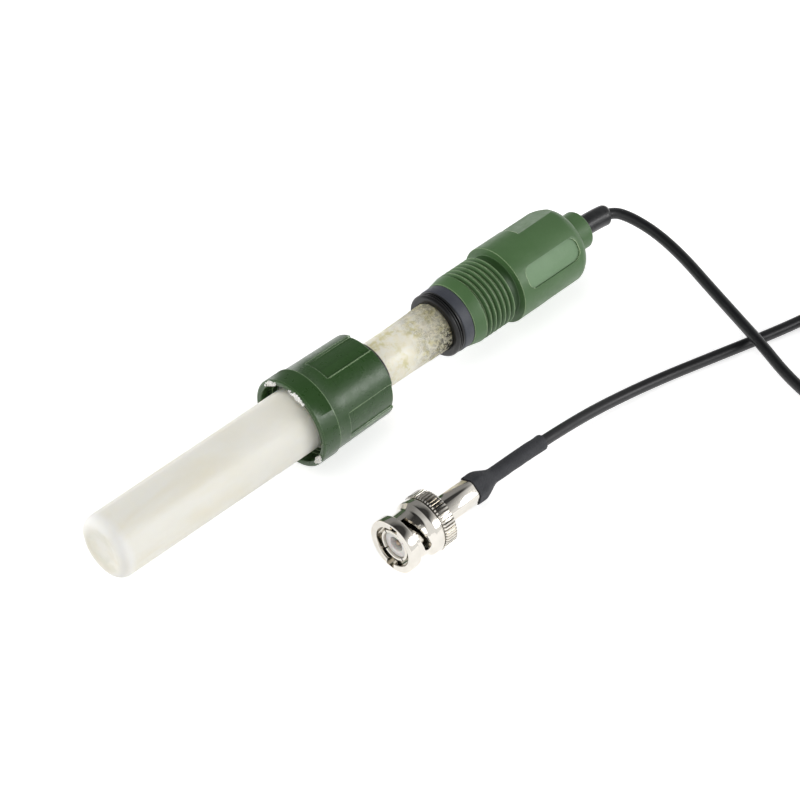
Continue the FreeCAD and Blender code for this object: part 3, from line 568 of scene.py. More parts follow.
print("finishes:", ", ".join(sorted(finishes)))

# %% [markdown]
# Every solid of the frame now gets the finish of its slot. Those that are small and
# plain stay as they are, and the others are replaced below by pieces with softer
# edges. The cable is the first: its one curve stands for three solids.

# %% Finishes for the solids and the cable
for name, node in frame["nodes"].items():
    entry = next(part for part in frame["record"]["subparts"] if part["node"] == name)
    for index in range(len(node.material_slots)):
        node.material_slots[index].material = finishes[entry["material_slot"]]
cable.data.materials.append(finishes["cable_black"])
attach(cable, "electrode")
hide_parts("cable_lead", "cable_coil", "cable_tail")
print("solids with a finish:", len(frame["nodes"]))

# %% [markdown]
# Most pieces of the electrode are turned: round about one axis. The lathe below
# starts from an outline of stations and radii in millimetres, rounds its corners
# with a vertex bevel, and spins it. Rounded corners matter more than any texture,
# because a real edge shows as a thin line of light. Stations along the electrode are
# counted from the shoulder of the head, and along the plug from its front.

# %% Lathe
ELECTRODE_AXIS = (0.0, AXIS_Z)
PLUG_AXIS = (PLUG_Y, PLUG_Z)
DEGREES_PER_SEGMENT, DEGREES_PER_SEGMENT_FINE, FINE_ROUND = 9.0, 24.0, 0.5


def bevel(shape, geom, offset, segments, affect, clamp=False):
    """Round vertices or edges with a profile of a quarter circle."""
    bmesh.ops.bevel(shape, geom=geom, offset=offset, offset_type="OFFSET", segments=segments,
                    profile=0.5, affect=affect, clamp_overlap=clamp, material=-1)


def spin(shape, geom, angle, steps, rise=0.0, merge=False):
    """Spin a section about X, rising a little along X with every step."""
    bmesh.ops.spin(shape, geom=geom, cent=(0, 0, 0), axis=(1, 0, 0), dvec=(rise, 0, 0), angle=angle,
                   steps=steps, use_merge=merge, use_duplicate=False)


def turned_shape(outline, steps=180, origin=SHOULDER_X, closed=True):
    """Spin an outline of (station, radius) or (station, radius, corner round) points."""
    shape = bmesh.new()
    corners = [shape.verts.new((origin + entry[0], 0.0, entry[1])) for entry in outline]
    for near, far in zip(corners, corners[1:] + corners[:1] if closed else corners[1:]):
        shape.edges.new((near, far))
    rounds = []
    for index, entry in enumerate(outline):
        if len(entry) > 2:
            ahead = corners[(index + 1) % len(corners)].co - corners[index].co
            bend = (corners[index].co - corners[index - 1].co).angle(ahead)
            step = DEGREES_PER_SEGMENT if entry[2] > FINE_ROUND else DEGREES_PER_SEGMENT_FINE
            segments = max(2, round(math.degrees(bend) / step))
            rounds.append((corners[index], entry[2] * math.tan(bend / 2.0), segments))
    for corner, offset, segments in rounds:
        bevel(shape, [corner], offset, segments, "VERTICES")
    spin(shape, shape.verts[:] + shape.edges[:], math.tau, steps, merge=True)
    bmesh.ops.remove_doubles(shape, verts=shape.verts, dist=0.0005)
    return shape


def angle_round_axis(vertex):
    """Degrees round the axis, from minus Y over plus Z."""
    return math.degrees(math.atan2(vertex.co.z, -vertex.co.y)) % 360.0


def direction(angle):
    """The way out from the axis at an angle, counted from minus Y over plus Z."""
    turn = math.radians(angle)
    return Vector((0.0, -math.cos(turn), math.sin(turn)))


def radius_of(vertex):
    return math.hypot(vertex.co.y, vertex.co.z)


def push_out(vertex, distance):
    """Move a vertex away from the axis, or towards it if the distance is negative."""
    share = 1.0 + distance / radius_of(vertex)
    vertex.co.y *= share
    vertex.co.z *= share


def soften(shape, offset, sharper_than=35.0):
    """A small two-step bevel on every edge that is sharper than a limit."""
    shape.normal_update()
    hard = [edge for edge in shape.edges
            if len(edge.link_faces) == 2 and math.degrees(edge.calc_face_angle()) > sharper_than]
    bevel(shape, hard, offset, 2, "EDGES", clamp=True)


# %% [markdown]
# Handling rubs the outer edges of plastic pale, and dirt stays in its corners. The pale
# edges are also a painted highlight, the light that a rounded edge catches, and the dark
# corners are also painted shade. Both could be painted by hand. Here every vertex stores
# how sharply the surface turns at it, outwards or inwards, and the finishes read the two
# numbers as attributes.
# An edge between two short faces is a rounded corner, so the turn is also weighed
# against the distance between the middles of the faces.

# %% Edges that wear with a painted highlight, hollows with painted shade, and pieces that ride
HOLLOW_ANGLE, HOLLOW_SPAN = 0.35, 0.5
# Outer edges past this turn get pale wear that is also a painted highlight.
WEAR_AND_HIGHLIGHT_ANGLE, CURVE_START, CURVE_SPAN, SMALLEST_GAP = 0.12, 1.2, 2.0, 0.02
SHARP_START, SHARP_SPAN = 0.6, 0.4
WIDE_FACE_AREA, WIDE_FACE_CORNERS, FRAME_WIDTH = 15.0, 8, 0.2


def mark_edges(shape, unit=1.0):
    """Store on each vertex how sharply the surface turns outwards, or inwards, there."""
    layers = shape.verts.layers.float
    worn = layers.get("worn") or layers.new("worn")
    hollow = layers.get("hollow") or layers.new("hollow")
    for edge in shape.edges:
        if len(edge.link_faces) != 2:
            continue
        angle = edge.calc_face_angle_signed()
        if angle < -HOLLOW_ANGLE:
            for vertex in edge.verts:
                vertex[hollow] = max(vertex[hollow], min((-angle - HOLLOW_ANGLE) / HOLLOW_SPAN, 1.0))
        if angle < WEAR_AND_HIGHLIGHT_ANGLE:
            continue
        near, far = edge.link_faces
        gap = (near.calc_center_median() - far.calc_center_median()).length / unit
        curved = (angle / max(gap, SMALLEST_GAP) - CURVE_START) / CURVE_SPAN
        # How pale an outer edge gets: wear and a painted highlight.
        wear = max(curved, (angle - SHARP_START) / SHARP_SPAN)
        for vertex in edge.verts:
            vertex[worn] = max(vertex[worn], min(wear, 1.0))


def shift(shape, way, verts=None):
    """Move a shape, or some of its vertices."""
    bmesh.ops.translate(shape, vec=way, verts=verts or shape.verts)


def turn(shape, degrees, verts=None, about="X"):
    """Turn a shape, or some of its vertices, about an axis through the origin."""
    bmesh.ops.rotate(shape, cent=(0, 0, 0), matrix=Matrix.Rotation(math.radians(degrees), 3, about),
                     verts=verts or shape.verts)


def mesh_object(shape, name):
    data = bpy.data.meshes.new(name)
    shape.to_mesh(data)
    shape.free()
    return add_object(name, data)


def bring_to_axis(shape, axis):
    """Move a shape in millimetres onto its axis, and make it metres."""
    shift(shape, (0.0, *axis))
    bmesh.ops.scale(shape, vec=(MM, MM, MM), verts=shape.verts)


def smooth_between(data, sharp):
    """Shade a mesh smooth, but keep edges that turn by more than an angle sharp."""
    data.shade_smooth()
    data.set_sharp_from_angle(angle=math.radians(sharp))


def finished(shape, name, body, slot, replaced=(), axis=ELECTRODE_AXIS, sharp=40.0):
    """Turn a shape in millimetres into a placed, shaded piece that rides on a body."""
    bmesh.ops.recalc_face_normals(shape, faces=shape.faces)
    mark_edges(shape)
    bring_to_axis(shape, axis)
    piece = mesh_object(shape, name)
    smooth_between(piece.data, sharp)
    piece.data.materials.append(finishes[slot])
    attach(piece, body)
    if replaced:
        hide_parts(*replaced)
    print(name, len(piece.data.polygons), "faces")
    return piece


def ease_cuts(piece, offset, sharper_than, sharp=40.0):
    """Bevel the sharp edges that cuts have left, frame the wide faces, and store the edges that get wear with
    a painted highlight and the hollows that get grime with painted shade.
    """
    shape = bmesh.new()
    shape.from_mesh(piece.data)
    soften(shape, offset * MM, sharper_than)
    wide = [face for face in shape.faces
            if face.calc_area() > WIDE_FACE_AREA * MM * MM and len(face.verts) > WIDE_FACE_CORNERS]
    bmesh.ops.inset_individual(shape, faces=wide, thickness=FRAME_WIDTH * MM, use_even_offset=True)
    mark_edges(shape, MM)
    shape.to_mesh(piece.data)
    shape.free()
    piece.data.set_sharp_from_angle(angle=math.radians(sharp))


def apply_modifiers(piece):
    """Make what the modifiers show the piece's own mesh."""
    bpy.context.view_layer.update()
    shown = piece.evaluated_get(bpy.context.evaluated_depsgraph_get())
    piece.data = bpy.data.meshes.new_from_object(shown)
    piece.modifiers.clear()


def carve(piece, cutter_shape, axis, sharp=40.0, overlapping=False):
    """Subtract closed shapes, overlapping ones too if asked, from a piece for good."""
    bmesh.ops.recalc_face_normals(cutter_shape, faces=cutter_shape.faces)
    bring_to_axis(cutter_shape, axis)
    cutter = mesh_object(cutter_shape, "cutter")
    cut = piece.modifiers.new("cut", "BOOLEAN")
    cut.operation = "DIFFERENCE"
    cut.solver = "EXACT"
    cut.object = cutter
    cut.use_self = overlapping
    apply_modifiers(piece)
    bpy.data.objects.remove(cutter)
    smooth_between(piece.data, sharp)
    print(piece.name, "carved:", len(piece.data.polygons), "faces")

# %% [markdown]
# The storage tube is one moulding: a closed, softly rounded end that is slightly
# dished, a plain wall, and a wider neck that screws into the cap nut. The nut hides
# the neck, so its thread is left out here. A simple outline for the lathe is enough.

# %% Storage tube
TUBE_END, TUBE_RADIUS, TUBE_BORE = -123.7, 8.0, 6.6
NECK_START, NECK_END, NECK_RADIUS = -62.25, -51.45, 9.1
tube = turned_shape([
    (TUBE_END + 0.5, 0), (TUBE_END + 0.45, 3.4, 3.0), (TUBE_END, 5.4, 1.2), (TUBE_END, TUBE_RADIUS, 2.3),
    (NECK_START - 1.1, TUBE_RADIUS, 0.5), (NECK_START, NECK_RADIUS, 0.4), (NECK_END, NECK_RADIUS, 0.3),
    (NECK_END, TUBE_BORE, 0.3), (TUBE_END + 1.8, TUBE_BORE, 1.0), (TUBE_END + 1.8, 0),
], steps=144, closed=False)
finished(tube, "storage_tube_skin", "storage_tube", "tube_white", ["storage_tube"])

# %% [markdown]
# The cap nut has a plain collar, a slightly tapered body and four sunken grip
# panels that run out at its far end. The panels could be cut with a Boolean, but a
# spun grid whose lines already lie on their edges can simply be pushed in there,
# and stays clean enough to bevel. The thread inside its mouth is a ridge of its own:
# a small section that is spun while it moves along the axis, which gives a true helix.

# %% Cap nut
NUT_FRONT, NUT_REAR = -67.0, -44.0
COLLAR_RADIUS, COLLAR_END = 11.42, -61.75
BODY_FRONT_RADIUS, BODY_REAR_RADIUS = 11.03, 10.77
PANEL_START, PANEL_DEPTH, PANEL_SWEEP = -58.1, 0.5, 40
PANEL_MIDDLES = (3, 93, 183, 273)
MOUTH_RADIUS, MOUTH_END, NUT_THREAD_ROOT, NUT_THREAD_CREST = 9.95, -63.4, 9.8, 9.27
BUSH_HOLE_RADIUS = 7.77
WALL_WIDTH, WALL_DEGREES = 0.2, 0.5
NUT_THREAD_PITCH, NUT_THREAD_TURNS = 1.5, 6.8
STEPS_PER_THREAD_TURN, RIDGE_SUNK = 72, 0.96


def in_panel(angle):
    """Whether an angle lies inside a grip panel, clear of its side walls."""
    return any(abs((angle - middle + 180.0) % 360.0 - 180.0) < PANEL_SWEEP / 2 - WALL_DEGREES
               for middle in PANEL_MIDDLES)


def thread_ridge(shape, section, start, pitch, turns, origin=SHOULDER_X, taper=40):
    """Add a right-handed helical ridge of a closed section, its ends sunk into the wall."""
    first = len(shape.verts)
    chain = [shape.verts.new((origin + start + x, 0.0, radius)) for x, radius in section]
    edges = [shape.edges.new(pair) for pair in zip(chain, chain[1:] + chain[:1])]
    steps = round(turns * STEPS_PER_THREAD_TURN)
    spin(shape, chain + edges, math.tau * turns, steps, rise=pitch / STEPS_PER_THREAD_TURN)
    shape.verts.ensure_lookup_table()
    ridge = shape.verts[first:]
    root = section[0][1]
    for index, vertex in enumerate(ridge):
        step = index // len(section)
        grown = min(step, steps - step, taper) / taper
        push_out(vertex, (root - radius_of(vertex)) * RIDGE_SUNK * (1.0 - grown) ** 2)
    holes = [edge for edge in shape.edges if len(edge.link_faces) == 1]
    bmesh.ops.holes_fill(shape, edges=holes, sides=len(section))


body_slope = (BODY_FRONT_RADIUS - BODY_REAR_RADIUS) / (NUT_REAR - COLLAR_END)
start_radius = BODY_FRONT_RADIUS - body_slope * (PANEL_START - COLLAR_END)
nut = turned_shape([
    (NUT_FRONT, COLLAR_RADIUS, 0.45), (COLLAR_END - 0.5, COLLAR_RADIUS),
    (COLLAR_END, COLLAR_RADIUS, 0.12), (COLLAR_END, BODY_FRONT_RADIUS + 0.02),
    (PANEL_START - 0.3, start_radius + body_slope * 0.3), (PANEL_START, start_radius),
    (PANEL_START + WALL_WIDTH, start_radius), (PANEL_START + 0.6, start_radius - body_slope * 0.6),
    (NUT_REAR - 0.7, BODY_REAR_RADIUS + body_slope * 0.7), (NUT_REAR, BODY_REAR_RADIUS, 0.3),
    (NUT_REAR, BUSH_HOLE_RADIUS, 0.2), (NUT_REAR - 2.0, BUSH_HOLE_RADIUS), (NUT_REAR - 2.0, NUT_THREAD_ROOT),
    (MOUTH_END, NUT_THREAD_ROOT), (MOUTH_END, MOUTH_RADIUS), (NUT_FRONT, MOUTH_RADIUS, 0.35),
], steps=360)
for vertex in nut.verts:
    behind = vertex.co.x - SHOULDER_X > PANEL_START + WALL_WIDTH / 2.0
    if behind and radius_of(vertex) > BODY_REAR_RADIUS - 0.4 and in_panel(angle_round_axis(vertex)):
        push_out(vertex, -PANEL_DEPTH)
soften(nut, 0.07)
nut_piece = finished(nut, "cap_nut_moulding", "cap_nut", "nut_green", ["cap_nut"], sharp=50.0)

# The floor of a panel has no edge to wear or to catch a painted highlight, so marks that the bevel left there
# are cleared.
wear_and_highlight_marks = nut_piece.data.attributes["worn"].data
for vertex in nut_piece.data.vertices:
    place = vertex.co / MM - Vector((SHOULDER_X, 0.0, AXIS_Z))
    angle = math.degrees(math.atan2(place.z, -place.y)) % 360.0
    aside = min(abs((angle - middle + 180.0) % 360.0 - 180.0) for middle in PANEL_MIDDLES)
    on_floor = PANEL_START + 0.5 < place.x < NUT_REAR - 0.6 and math.hypot(place.y, place.z) > 10.0
    if on_floor and aside < PANEL_SWEEP / 2 - 2.0:
        wear_and_highlight_marks[vertex.index].value = 0.0
nut_thread = bmesh.new()
ridge_foot = NUT_THREAD_ROOT + 0.05
thread_ridge(nut_thread, [(-0.5, ridge_foot), (-0.15, NUT_THREAD_CREST), (0.15, NUT_THREAD_CREST),
                          (0.5, ridge_foot)], MOUTH_END + 0.8, NUT_THREAD_PITCH, NUT_THREAD_TURNS)
finished(nut_thread, "cap_nut_thread", "cap_nut", "nut_green", sharp=60.0)

# %% [markdown]
# The shaft is a plain tube, but where it has been wet up to the seal it carries a
# crust. The wall there gets closely spaced rings, and each point is pushed out by
# noise that grows towards the seal. The crust starts well behind the place that the
# rubber bush can slide to. Loose grains lie on it, closer together towards the seal.

# %% Shaft with its salt crust
SHAFT_TIP, SHAFT_SOCKET_END, SHAFT_RADIUS = -106.5, -1.02, 6.0
CRUST_START, CRUST_END = -31.5, -20.6
CRUST_HEIGHT, CRUST_RING_GAP, CRUST_NOISE, CLUMP_NOISE = 0.34, 0.16, 1.4, 0.55
SHAFT_GRAINS, SHAFT_GRAINS_FROM, SHAFT_GRAINS_LONG = 520, -29.5, 8.6
ring_count = round((CRUST_END - CRUST_START) / CRUST_RING_GAP)
rings = [(CRUST_START + (CRUST_END - CRUST_START) * index / ring_count, SHAFT_RADIUS)
         for index in range(ring_count + 1)]
shaft = turned_shape([(SHAFT_TIP, SHAFT_RADIUS, 0.25)] + rings + [
    (SHAFT_SOCKET_END, SHAFT_RADIUS), (SHAFT_SOCKET_END, 5.0), (SHAFT_TIP, 5.0)], steps=216)
for vertex in shaft.verts:
    if radius_of(vertex) > 5.9:
        along = (vertex.co.x - SHOULDER_X - CRUST_START) / (CRUST_END - CRUST_START)
        if 0.0 < along < 1.0:
            rough = noise.fractal(vertex.co * CRUST_NOISE, 1.0, 2.0, 4)
            clump = max(0.0, noise.noise(vertex.co * CLUMP_NOISE) + 0.25)
            push_out(vertex, CRUST_HEIGHT * along * max(0.0, 0.35 + rough * 0.7 + clump * 0.6))
finished(shaft, "shaft_skin", "electrode", "shaft_cream", ["shaft_tube"], sharp=60.0)


def crystals(name, body, slot, spots, seed):
    """Small broken grains of salt, each a jittered, flattened icosphere."""
    draw = random.Random(seed)
    grains = bmesh.new()
    for place, size in spots(draw):
        made = bmesh.ops.create_icosphere(grains, subdivisions=1, radius=size)["verts"]
        spun = draw.uniform(0, math.tau)
        tipped = Matrix.Rotation(spun, 3, Vector((draw.random(), draw.random(), 1)).normalized())
        for vertex in made:
            stretched = Vector((vertex.co.x * 1.3, vertex.co.y, vertex.co.z * 0.7))
            vertex.co = place + tipped @ (stretched * draw.uniform(0.75, 1.2))
    return finished(grains, name, body, slot, sharp=20.0)


def shaft_spots(draw):
    """Where grains sit on the shaft: ever closer together towards the seal."""
    for _ in range(SHAFT_GRAINS):
        along = draw.random() ** 0.45
        x = SHOULDER_X + SHAFT_GRAINS_FROM + SHAFT_GRAINS_LONG * along
        angle = draw.uniform(-40, 200)
        size = draw.uniform(0.06, 0.15) * (0.5 + 0.7 * along)
        yield Vector((x, 0, 0)) + (SHAFT_RADIUS + 0.08) * direction(angle), size


crystals("shaft_salt_grains", "electrode", "shaft_cream", shaft_spots, 11)

# %% [markdown]
# Salt has crept out of the cap nut too, and dried in three small heaps on the inner
# edge of its rim. Each heap is a swarm of grains that is melted into one lump by a
# voxel remesh, as real creeping salt grows into a crust.

# %% Salt on the nut's rim
RIM_HEAPS = ((127.0, 11.0), (76.0, 13.0), (-28.0, 9.0))
RIM_RADIUS, GRAINS_PER_HEAP, MELT_SIZE = 10.45, 80, 0.07


def rim_spots(draw):
    """Where grains lie on the rim: heaps, each with a middle and a spread in degrees."""
    for middle, spread in RIM_HEAPS:
        for _ in range(GRAINS_PER_HEAP):
            aside = max(-1.0, min(1.0, draw.gauss(0.0, 0.5)))
            radius = RIM_RADIUS + draw.uniform(-0.6, 0.8) * (1.0 - abs(aside) * 0.6)
            x = SHOULDER_X + NUT_FRONT + draw.uniform(-0.25, 0.12)
            yield Vector((x, 0, 0)) + radius * direction(middle + spread * aside), draw.uniform(0.14, 0.38)


rim_salt = crystals("rim_salt_crust", "cap_nut", "tube_white", rim_spots, 5)
rim_salt.data.materials[0] = finishes["salt_white"]
melt = rim_salt.modifiers.new("melt", "REMESH")
melt.mode = "VOXEL"
melt.voxel_size = MELT_SIZE * MM
apply_modifiers(rim_salt)
print("rim salt melted:", len(rim_salt.data.polygons), "faces")

# %% [markdown]
# Two rings seal the head against its fitting: a soft ring with two creases round it,
# and a hard slate-coloured washer that keeps it off the thread. Only their rounded
# edges catch the light, so both are turned with clear corner rounds.

# %% Sealing rings
RING_BORE = 6.03
o_ring = turned_shape([
    (-20.75, RING_BORE, 0.5), (-20.75, 8.15, 0.7), (-19.72, 8.15, 0.3), (-19.68, 7.8, 0.06),
    (-19.55, 7.8, 0.06), (-19.52, 8.12, 0.12), (-19.15, 8.12, 0.15), (-19.1, 7.5, 0.1), (-18.82, 7.5, 0.1),
    (-18.78, 8.08, 0.12), (-18.27, 8.08, 0.14), (-18.27, RING_BORE),
], steps=144)
finished(o_ring, "o_ring_skin", "electrode", "rubber_black", ["o_ring"])
washer = turned_shape([(-18.25, RING_BORE), (-18.25, 8.25, 0.3), (-15.22, 8.25, 0.22), (-15.22, RING_BORE)],
                      steps=144)
finished(washer, "seal_washer_skin", "electrode", "washer_slate", ["seal_washer"])

# %% [markdown]
# The head is one satin moulding: a smooth lead-in, seven thread crests, a relief
# groove, a round cap with two wrench flats and a sunken panel, and a nozzle. The
# body is turned. The thread is a helical ridge, because plain rings would not rise
# round the core. Flats and panel are true flat and curved cuts, made by Booleans,
# whose sharp edges are bevelled afterwards. The panel's floor gets a second finish.

# %% Head
CAP_RADIUS, CAP_LENGTH, NOZZLE_END = 9.95, 22.5, 29.1
THREAD_ROOT, THREAD_CREST, THREAD_PITCH, THREAD_FIRST = 8.1, 9.05, 1.54, -12.21
FLAT_START, FLAT_ACROSS, FLAT_ANGLES = 9.1, 18.0, (124.0, 304.0)
PANEL_FROM, PANEL_LONG, PANEL_HIGH, PANEL_ROUND = 2.5, 17.2, 5.9, 2.2
PANEL_SUNK, PANEL_ANGLE, PANEL_CUTS = 0.45, 33.5, 24
CUT_SHARP = 18.0

head = turned_shape([
    (-15.2, 6.02), (-15.2, 8.4, 0.16), (-12.5, 8.95), (-12.05, THREAD_CREST, 0.08), (-11.7, THREAD_ROOT, 0.1),
    (0.0, THREAD_ROOT, 0.3),
    (0.0, CAP_RADIUS + 0.08, 0.1), (0.5, CAP_RADIUS + 0.08), (2.2, CAP_RADIUS + 0.07),
    (8.8, CAP_RADIUS + 0.05), (20.0, CAP_RADIUS), (CAP_LENGTH - 1.41, CAP_RADIUS, 4.2),
    (CAP_LENGTH, 8.55, 0.3), (CAP_LENGTH, 4.9, 0.4),
    (NOZZLE_END, 4.9, 0.6), (NOZZLE_END, 2.65, 0.25), (17.0, 2.65), (17.0, 5.3), (-1.0, 5.3), (-1.0, 6.02),
], steps=240)
head_piece = finished(head, "head_moulding", "electrode", "head_green", ["head_body"])

thread = bmesh.new()
thread_ridge(thread, [(-0.7, THREAD_ROOT - 0.05), (-0.17, THREAD_CREST - 0.12), (-0.09, THREAD_CREST),
                      (0.09, THREAD_CREST), (0.17, THREAD_CREST - 0.12), (0.7, THREAD_ROOT - 0.05)],
             THREAD_FIRST, THREAD_PITCH, 6.7, taper=22)
finished(thread, "head_thread_ridge", "electrode", "head_green", sharp=60.0)


def flat_block(angle):
    """A block outside one wrench flat, behind the place where the flat starts."""
    block = bmesh.new()
    bmesh.ops.create_cube(block, size=1.0)
    bmesh.ops.scale(block, vec=(20.0, 20.0, 6.0), verts=block.verts)
    shift(block, (SHOULDER_X + FLAT_START + 10.0, 0, FLAT_ACROSS / 2.0 + 3.0))
    turn(block, 90.0 - angle)
    return block


def extrude_by(shape, way):
    """Extrude all faces of a shape and move the new ones."""
    pulled = bmesh.ops.extrude_face_region(shape, geom=shape.faces[:])["geom"]
    shift(shape, way, [item for item in pulled if isinstance(item, bmesh.types.BMVert)])


def panel_block():
    """A rounded oblong whose inner face follows the cap's round side."""
    block = bmesh.new()
    left, right = SHOULDER_X + PANEL_FROM, SHOULDER_X + PANEL_FROM + PANEL_LONG
    half = PANEL_HIGH / 2.0
    corners = (left, -half), (right, -half), (right, half), (left, half)
    block.faces.new([block.verts.new((x, y, 0.0)) for x, y in corners])
    bevel(block, block.verts[:], PANEL_ROUND, 10, "VERTICES")
    extrude_by(block, (0, 0, CAP_RADIUS + 2.0))
    for index in range(1, PANEL_CUTS):
        cut_y = -half + PANEL_HIGH * index / PANEL_CUTS
        bmesh.ops.bisect_plane(block, geom=block.verts[:] + block.edges[:] + block.faces[:], dist=1e-5,
                               plane_co=(0, cut_y, 0), plane_no=(0, 1, 0))
    for vertex in block.verts:
        if vertex.co.z < 1.0:
            vertex.co.z = math.sqrt((CAP_RADIUS - PANEL_SUNK) ** 2 - vertex.co.y ** 2)
    turn(block, 90.0 - PANEL_ANGLE)
    return block


for angle in FLAT_ANGLES:
    carve(head_piece, flat_block(angle), ELECTRODE_AXIS, sharp=CUT_SHARP)
carve(head_piece, panel_block(), ELECTRODE_AXIS, sharp=CUT_SHARP)
ease_cuts(head_piece, 0.09, CUT_SHARP, sharp=30.0)

# %% Panel finish
head_piece.data.materials.append(finishes["label_panel"])
panel_out = direction(PANEL_ANGLE)
PANEL_FLOOR_FROM, PANEL_FLOOR_FACING = 8.0, 0.8
for face in head_piece.data.polygons:
    centre = face.center / MM - Vector((SHOULDER_X, 0.0, AXIS_Z))
    across = centre.dot(panel_out.cross(Vector((1, 0, 0))))
    inside = abs(across) < PANEL_HIGH / 2 and PANEL_FROM < centre.x < PANEL_FROM + PANEL_LONG
    sunk = math.hypot(centre.y, centre.z) < CAP_RADIUS - PANEL_SUNK + 0.02
    outer = centre.dot(panel_out) > PANEL_FLOOR_FROM
    if inside and sunk and outer and abs(face.normal.dot(panel_out)) > PANEL_FLOOR_FACING:
        face.material_index = 1
print("panel faces:", sum(face.material_index for face in head_piece.data.polygons))

# %% [markdown]
# The parts along the cable are turned straight and then laid along the cable's own
# centre line. Each point keeps its distance from the axis, and its station becomes
# a length along the cable, so a sleeve bends exactly as the cable does. The shrunk
# sleeve also takes the six sides of the ferrule that it was shrunk over.

# %% Sleeves along the cable
def bend_along(shape, path):
    """Lay a shape that was turned about X along a path of points in millimetres."""
    lengths = [0.0]
    for near, far in zip(path, path[1:]):
        lengths.append(lengths[-1] + (far - near).length)
    for vertex in shape.verts:
        index = 0
        while index < len(path) - 2 and lengths[index + 1] < vertex.co.x:
            index += 1
        along = (path[index + 1] - path[index]).normalized()
        start = path[index] + along * (vertex.co.x - lengths[index])
        side = along.cross(Vector((0, 0, 1))).normalized()
        vertex.co = start - side * vertex.co.y + side.cross(along) * vertex.co.z


def close_stations(near, far, gap):
    """Extra stations along a straight stretch, so that it can bend smoothly."""
    count = max(1, round((far - near) / gap))
    return [near + (far - near) * index / count for index in range(count + 1)]


SLEEVE_RADIUS, SLEEVE_LENGTH = 2.6, 12.3
sleeve_rows = [(x, SLEEVE_RADIUS) for x in close_stations(0.0, SLEEVE_LENGTH - 1.6, 0.5)]
bore_rows = [(x, 1.42) for x in reversed(close_stations(0.0, SLEEVE_LENGTH - 0.8, 0.5))]
sleeve = turned_shape(sleeve_rows + [
    (SLEEVE_LENGTH - 0.5, SLEEVE_RADIUS, 1.2), (SLEEVE_LENGTH, SLEEVE_RADIUS - 0.7, 0.5),
    (SLEEVE_LENGTH, 1.45, 0.3)] + bore_rows, steps=64, origin=0.0)
bend_along(sleeve, centre_line)
strain_sleeve = finished(sleeve, "strain_sleeve_skin", "electrode", "sleeve_black", ["strain_sleeve"],
                         axis=(0.0, 0.0))

SHRINK_START, SHRINK_END, SHRINK_WIDE, SHRINK_NARROW = 3.5, 27.3, 3.52, 1.9
SHRINK_TAPER_START, SHRINK_TAPER_LENGTH = 5.6, 5.4
taper_rows = []
for x in close_stations(SHRINK_START + 0.25, SHRINK_END - 0.25, 0.3):
    share = held((x - SHRINK_TAPER_START) / SHRINK_TAPER_LENGTH)
    eased = share * share * (3.0 - 2.0 * share)
    taper_rows.append((x, SHRINK_WIDE + (SHRINK_NARROW - SHRINK_WIDE) * eased))
shrink = turned_shape([(SHRINK_START, 3.28, 0.1), (SHRINK_START, SHRINK_WIDE - 0.05, 0.12)] + taper_rows + [
    (SHRINK_END, SHRINK_NARROW, 0.12), (SHRINK_END, 1.44), (11.2, 1.44), (5.8, 3.1), (5.7, 3.28)],
    steps=96, origin=0.0)
FERRULE_START, FERRULE_END, FERRULE_ACROSS, FERRULE_TURN = 15.12, 26.7, 6.1, 51.0
SLEEVE_OUTSIDE, CORNER_RATIO, ROUND_RATIO = 1.7, 1.09, 1.06
for vertex in shrink.verts:
    if radius_of(vertex) > SLEEVE_OUTSIDE:
        aside = math.radians((angle_round_axis(vertex) - FERRULE_TURN + 30.0) % 60.0 - 30.0)
        flat_sided = min(FERRULE_ACROSS / 2.0 / math.cos(aside), FERRULE_ACROSS / 2.0 * CORNER_RATIO)
        hugging = held((SHRINK_START + 6.0 - vertex.co.x) / 4.0)
        round_sided = FERRULE_ACROSS / 2.0 * ROUND_RATIO
        push_out(vertex, (flat_sided - round_sided) * hugging)
        lumps = noise.noise(Vector((vertex.co.x * 0.35, vertex.co.y * 0.3, vertex.co.z * 0.3 + 7.0)))
        push_out(vertex, (0.1 * lumps + 0.02 * noise.noise(vertex.co * 2.5)) * (1.0 - 0.7 * hugging))
bend_along(shrink, list(reversed(centre_line)))
shrink_sleeve = finished(shrink, "shrink_sleeve_skin", "electrode", "shrink_grey", ["shrink_sleeve"],
                         axis=(0.0, 0.0))

# %% [markdown]
# The plug's ferrule is a tube that was squeezed to six sides in a crimping tool. It
# starts as a six-cornered circle, is extruded along the plug, and its long corners
# and its ends are bevelled.

# %% Ferrule
ferrule = bmesh.new()
bmesh.ops.create_circle(ferrule, cap_ends=True, segments=6, radius=FERRULE_ACROSS / math.sqrt(3.0))
turn(ferrule, 90.0, about="Y")
extrude_by(ferrule, (FERRULE_END - FERRULE_START, 0, 0))
long_edges = [edge for edge in ferrule.edges if abs(edge.verts[0].co.x - edge.verts[1].co.x) > 1.0]
bevel(ferrule, long_edges, 0.7, 4, "EDGES", clamp=True)
soften(ferrule, 0.18, 60.0)
turn(ferrule, 90.0 - FERRULE_TURN)
shift(ferrule, (PLUG_X + FERRULE_START, 0, 0))
crimped = finished(ferrule, "ferrule_skin", "electrode", "nickel", ["crimp_ferrule"], axis=PLUG_AXIS,
                   sharp=25.0)

# %% [markdown]
# The coupling ring is the most detailed piece. It is turned with rounded edges, and
# its grip band gets 54 grooves, because two in every six lines of the spun grid are
# pushed inwards. Two bayonet channels are cut. Each one is a slot along the axis
# under the front flange, and a ramp that is spun with a rise, so it truly winds.

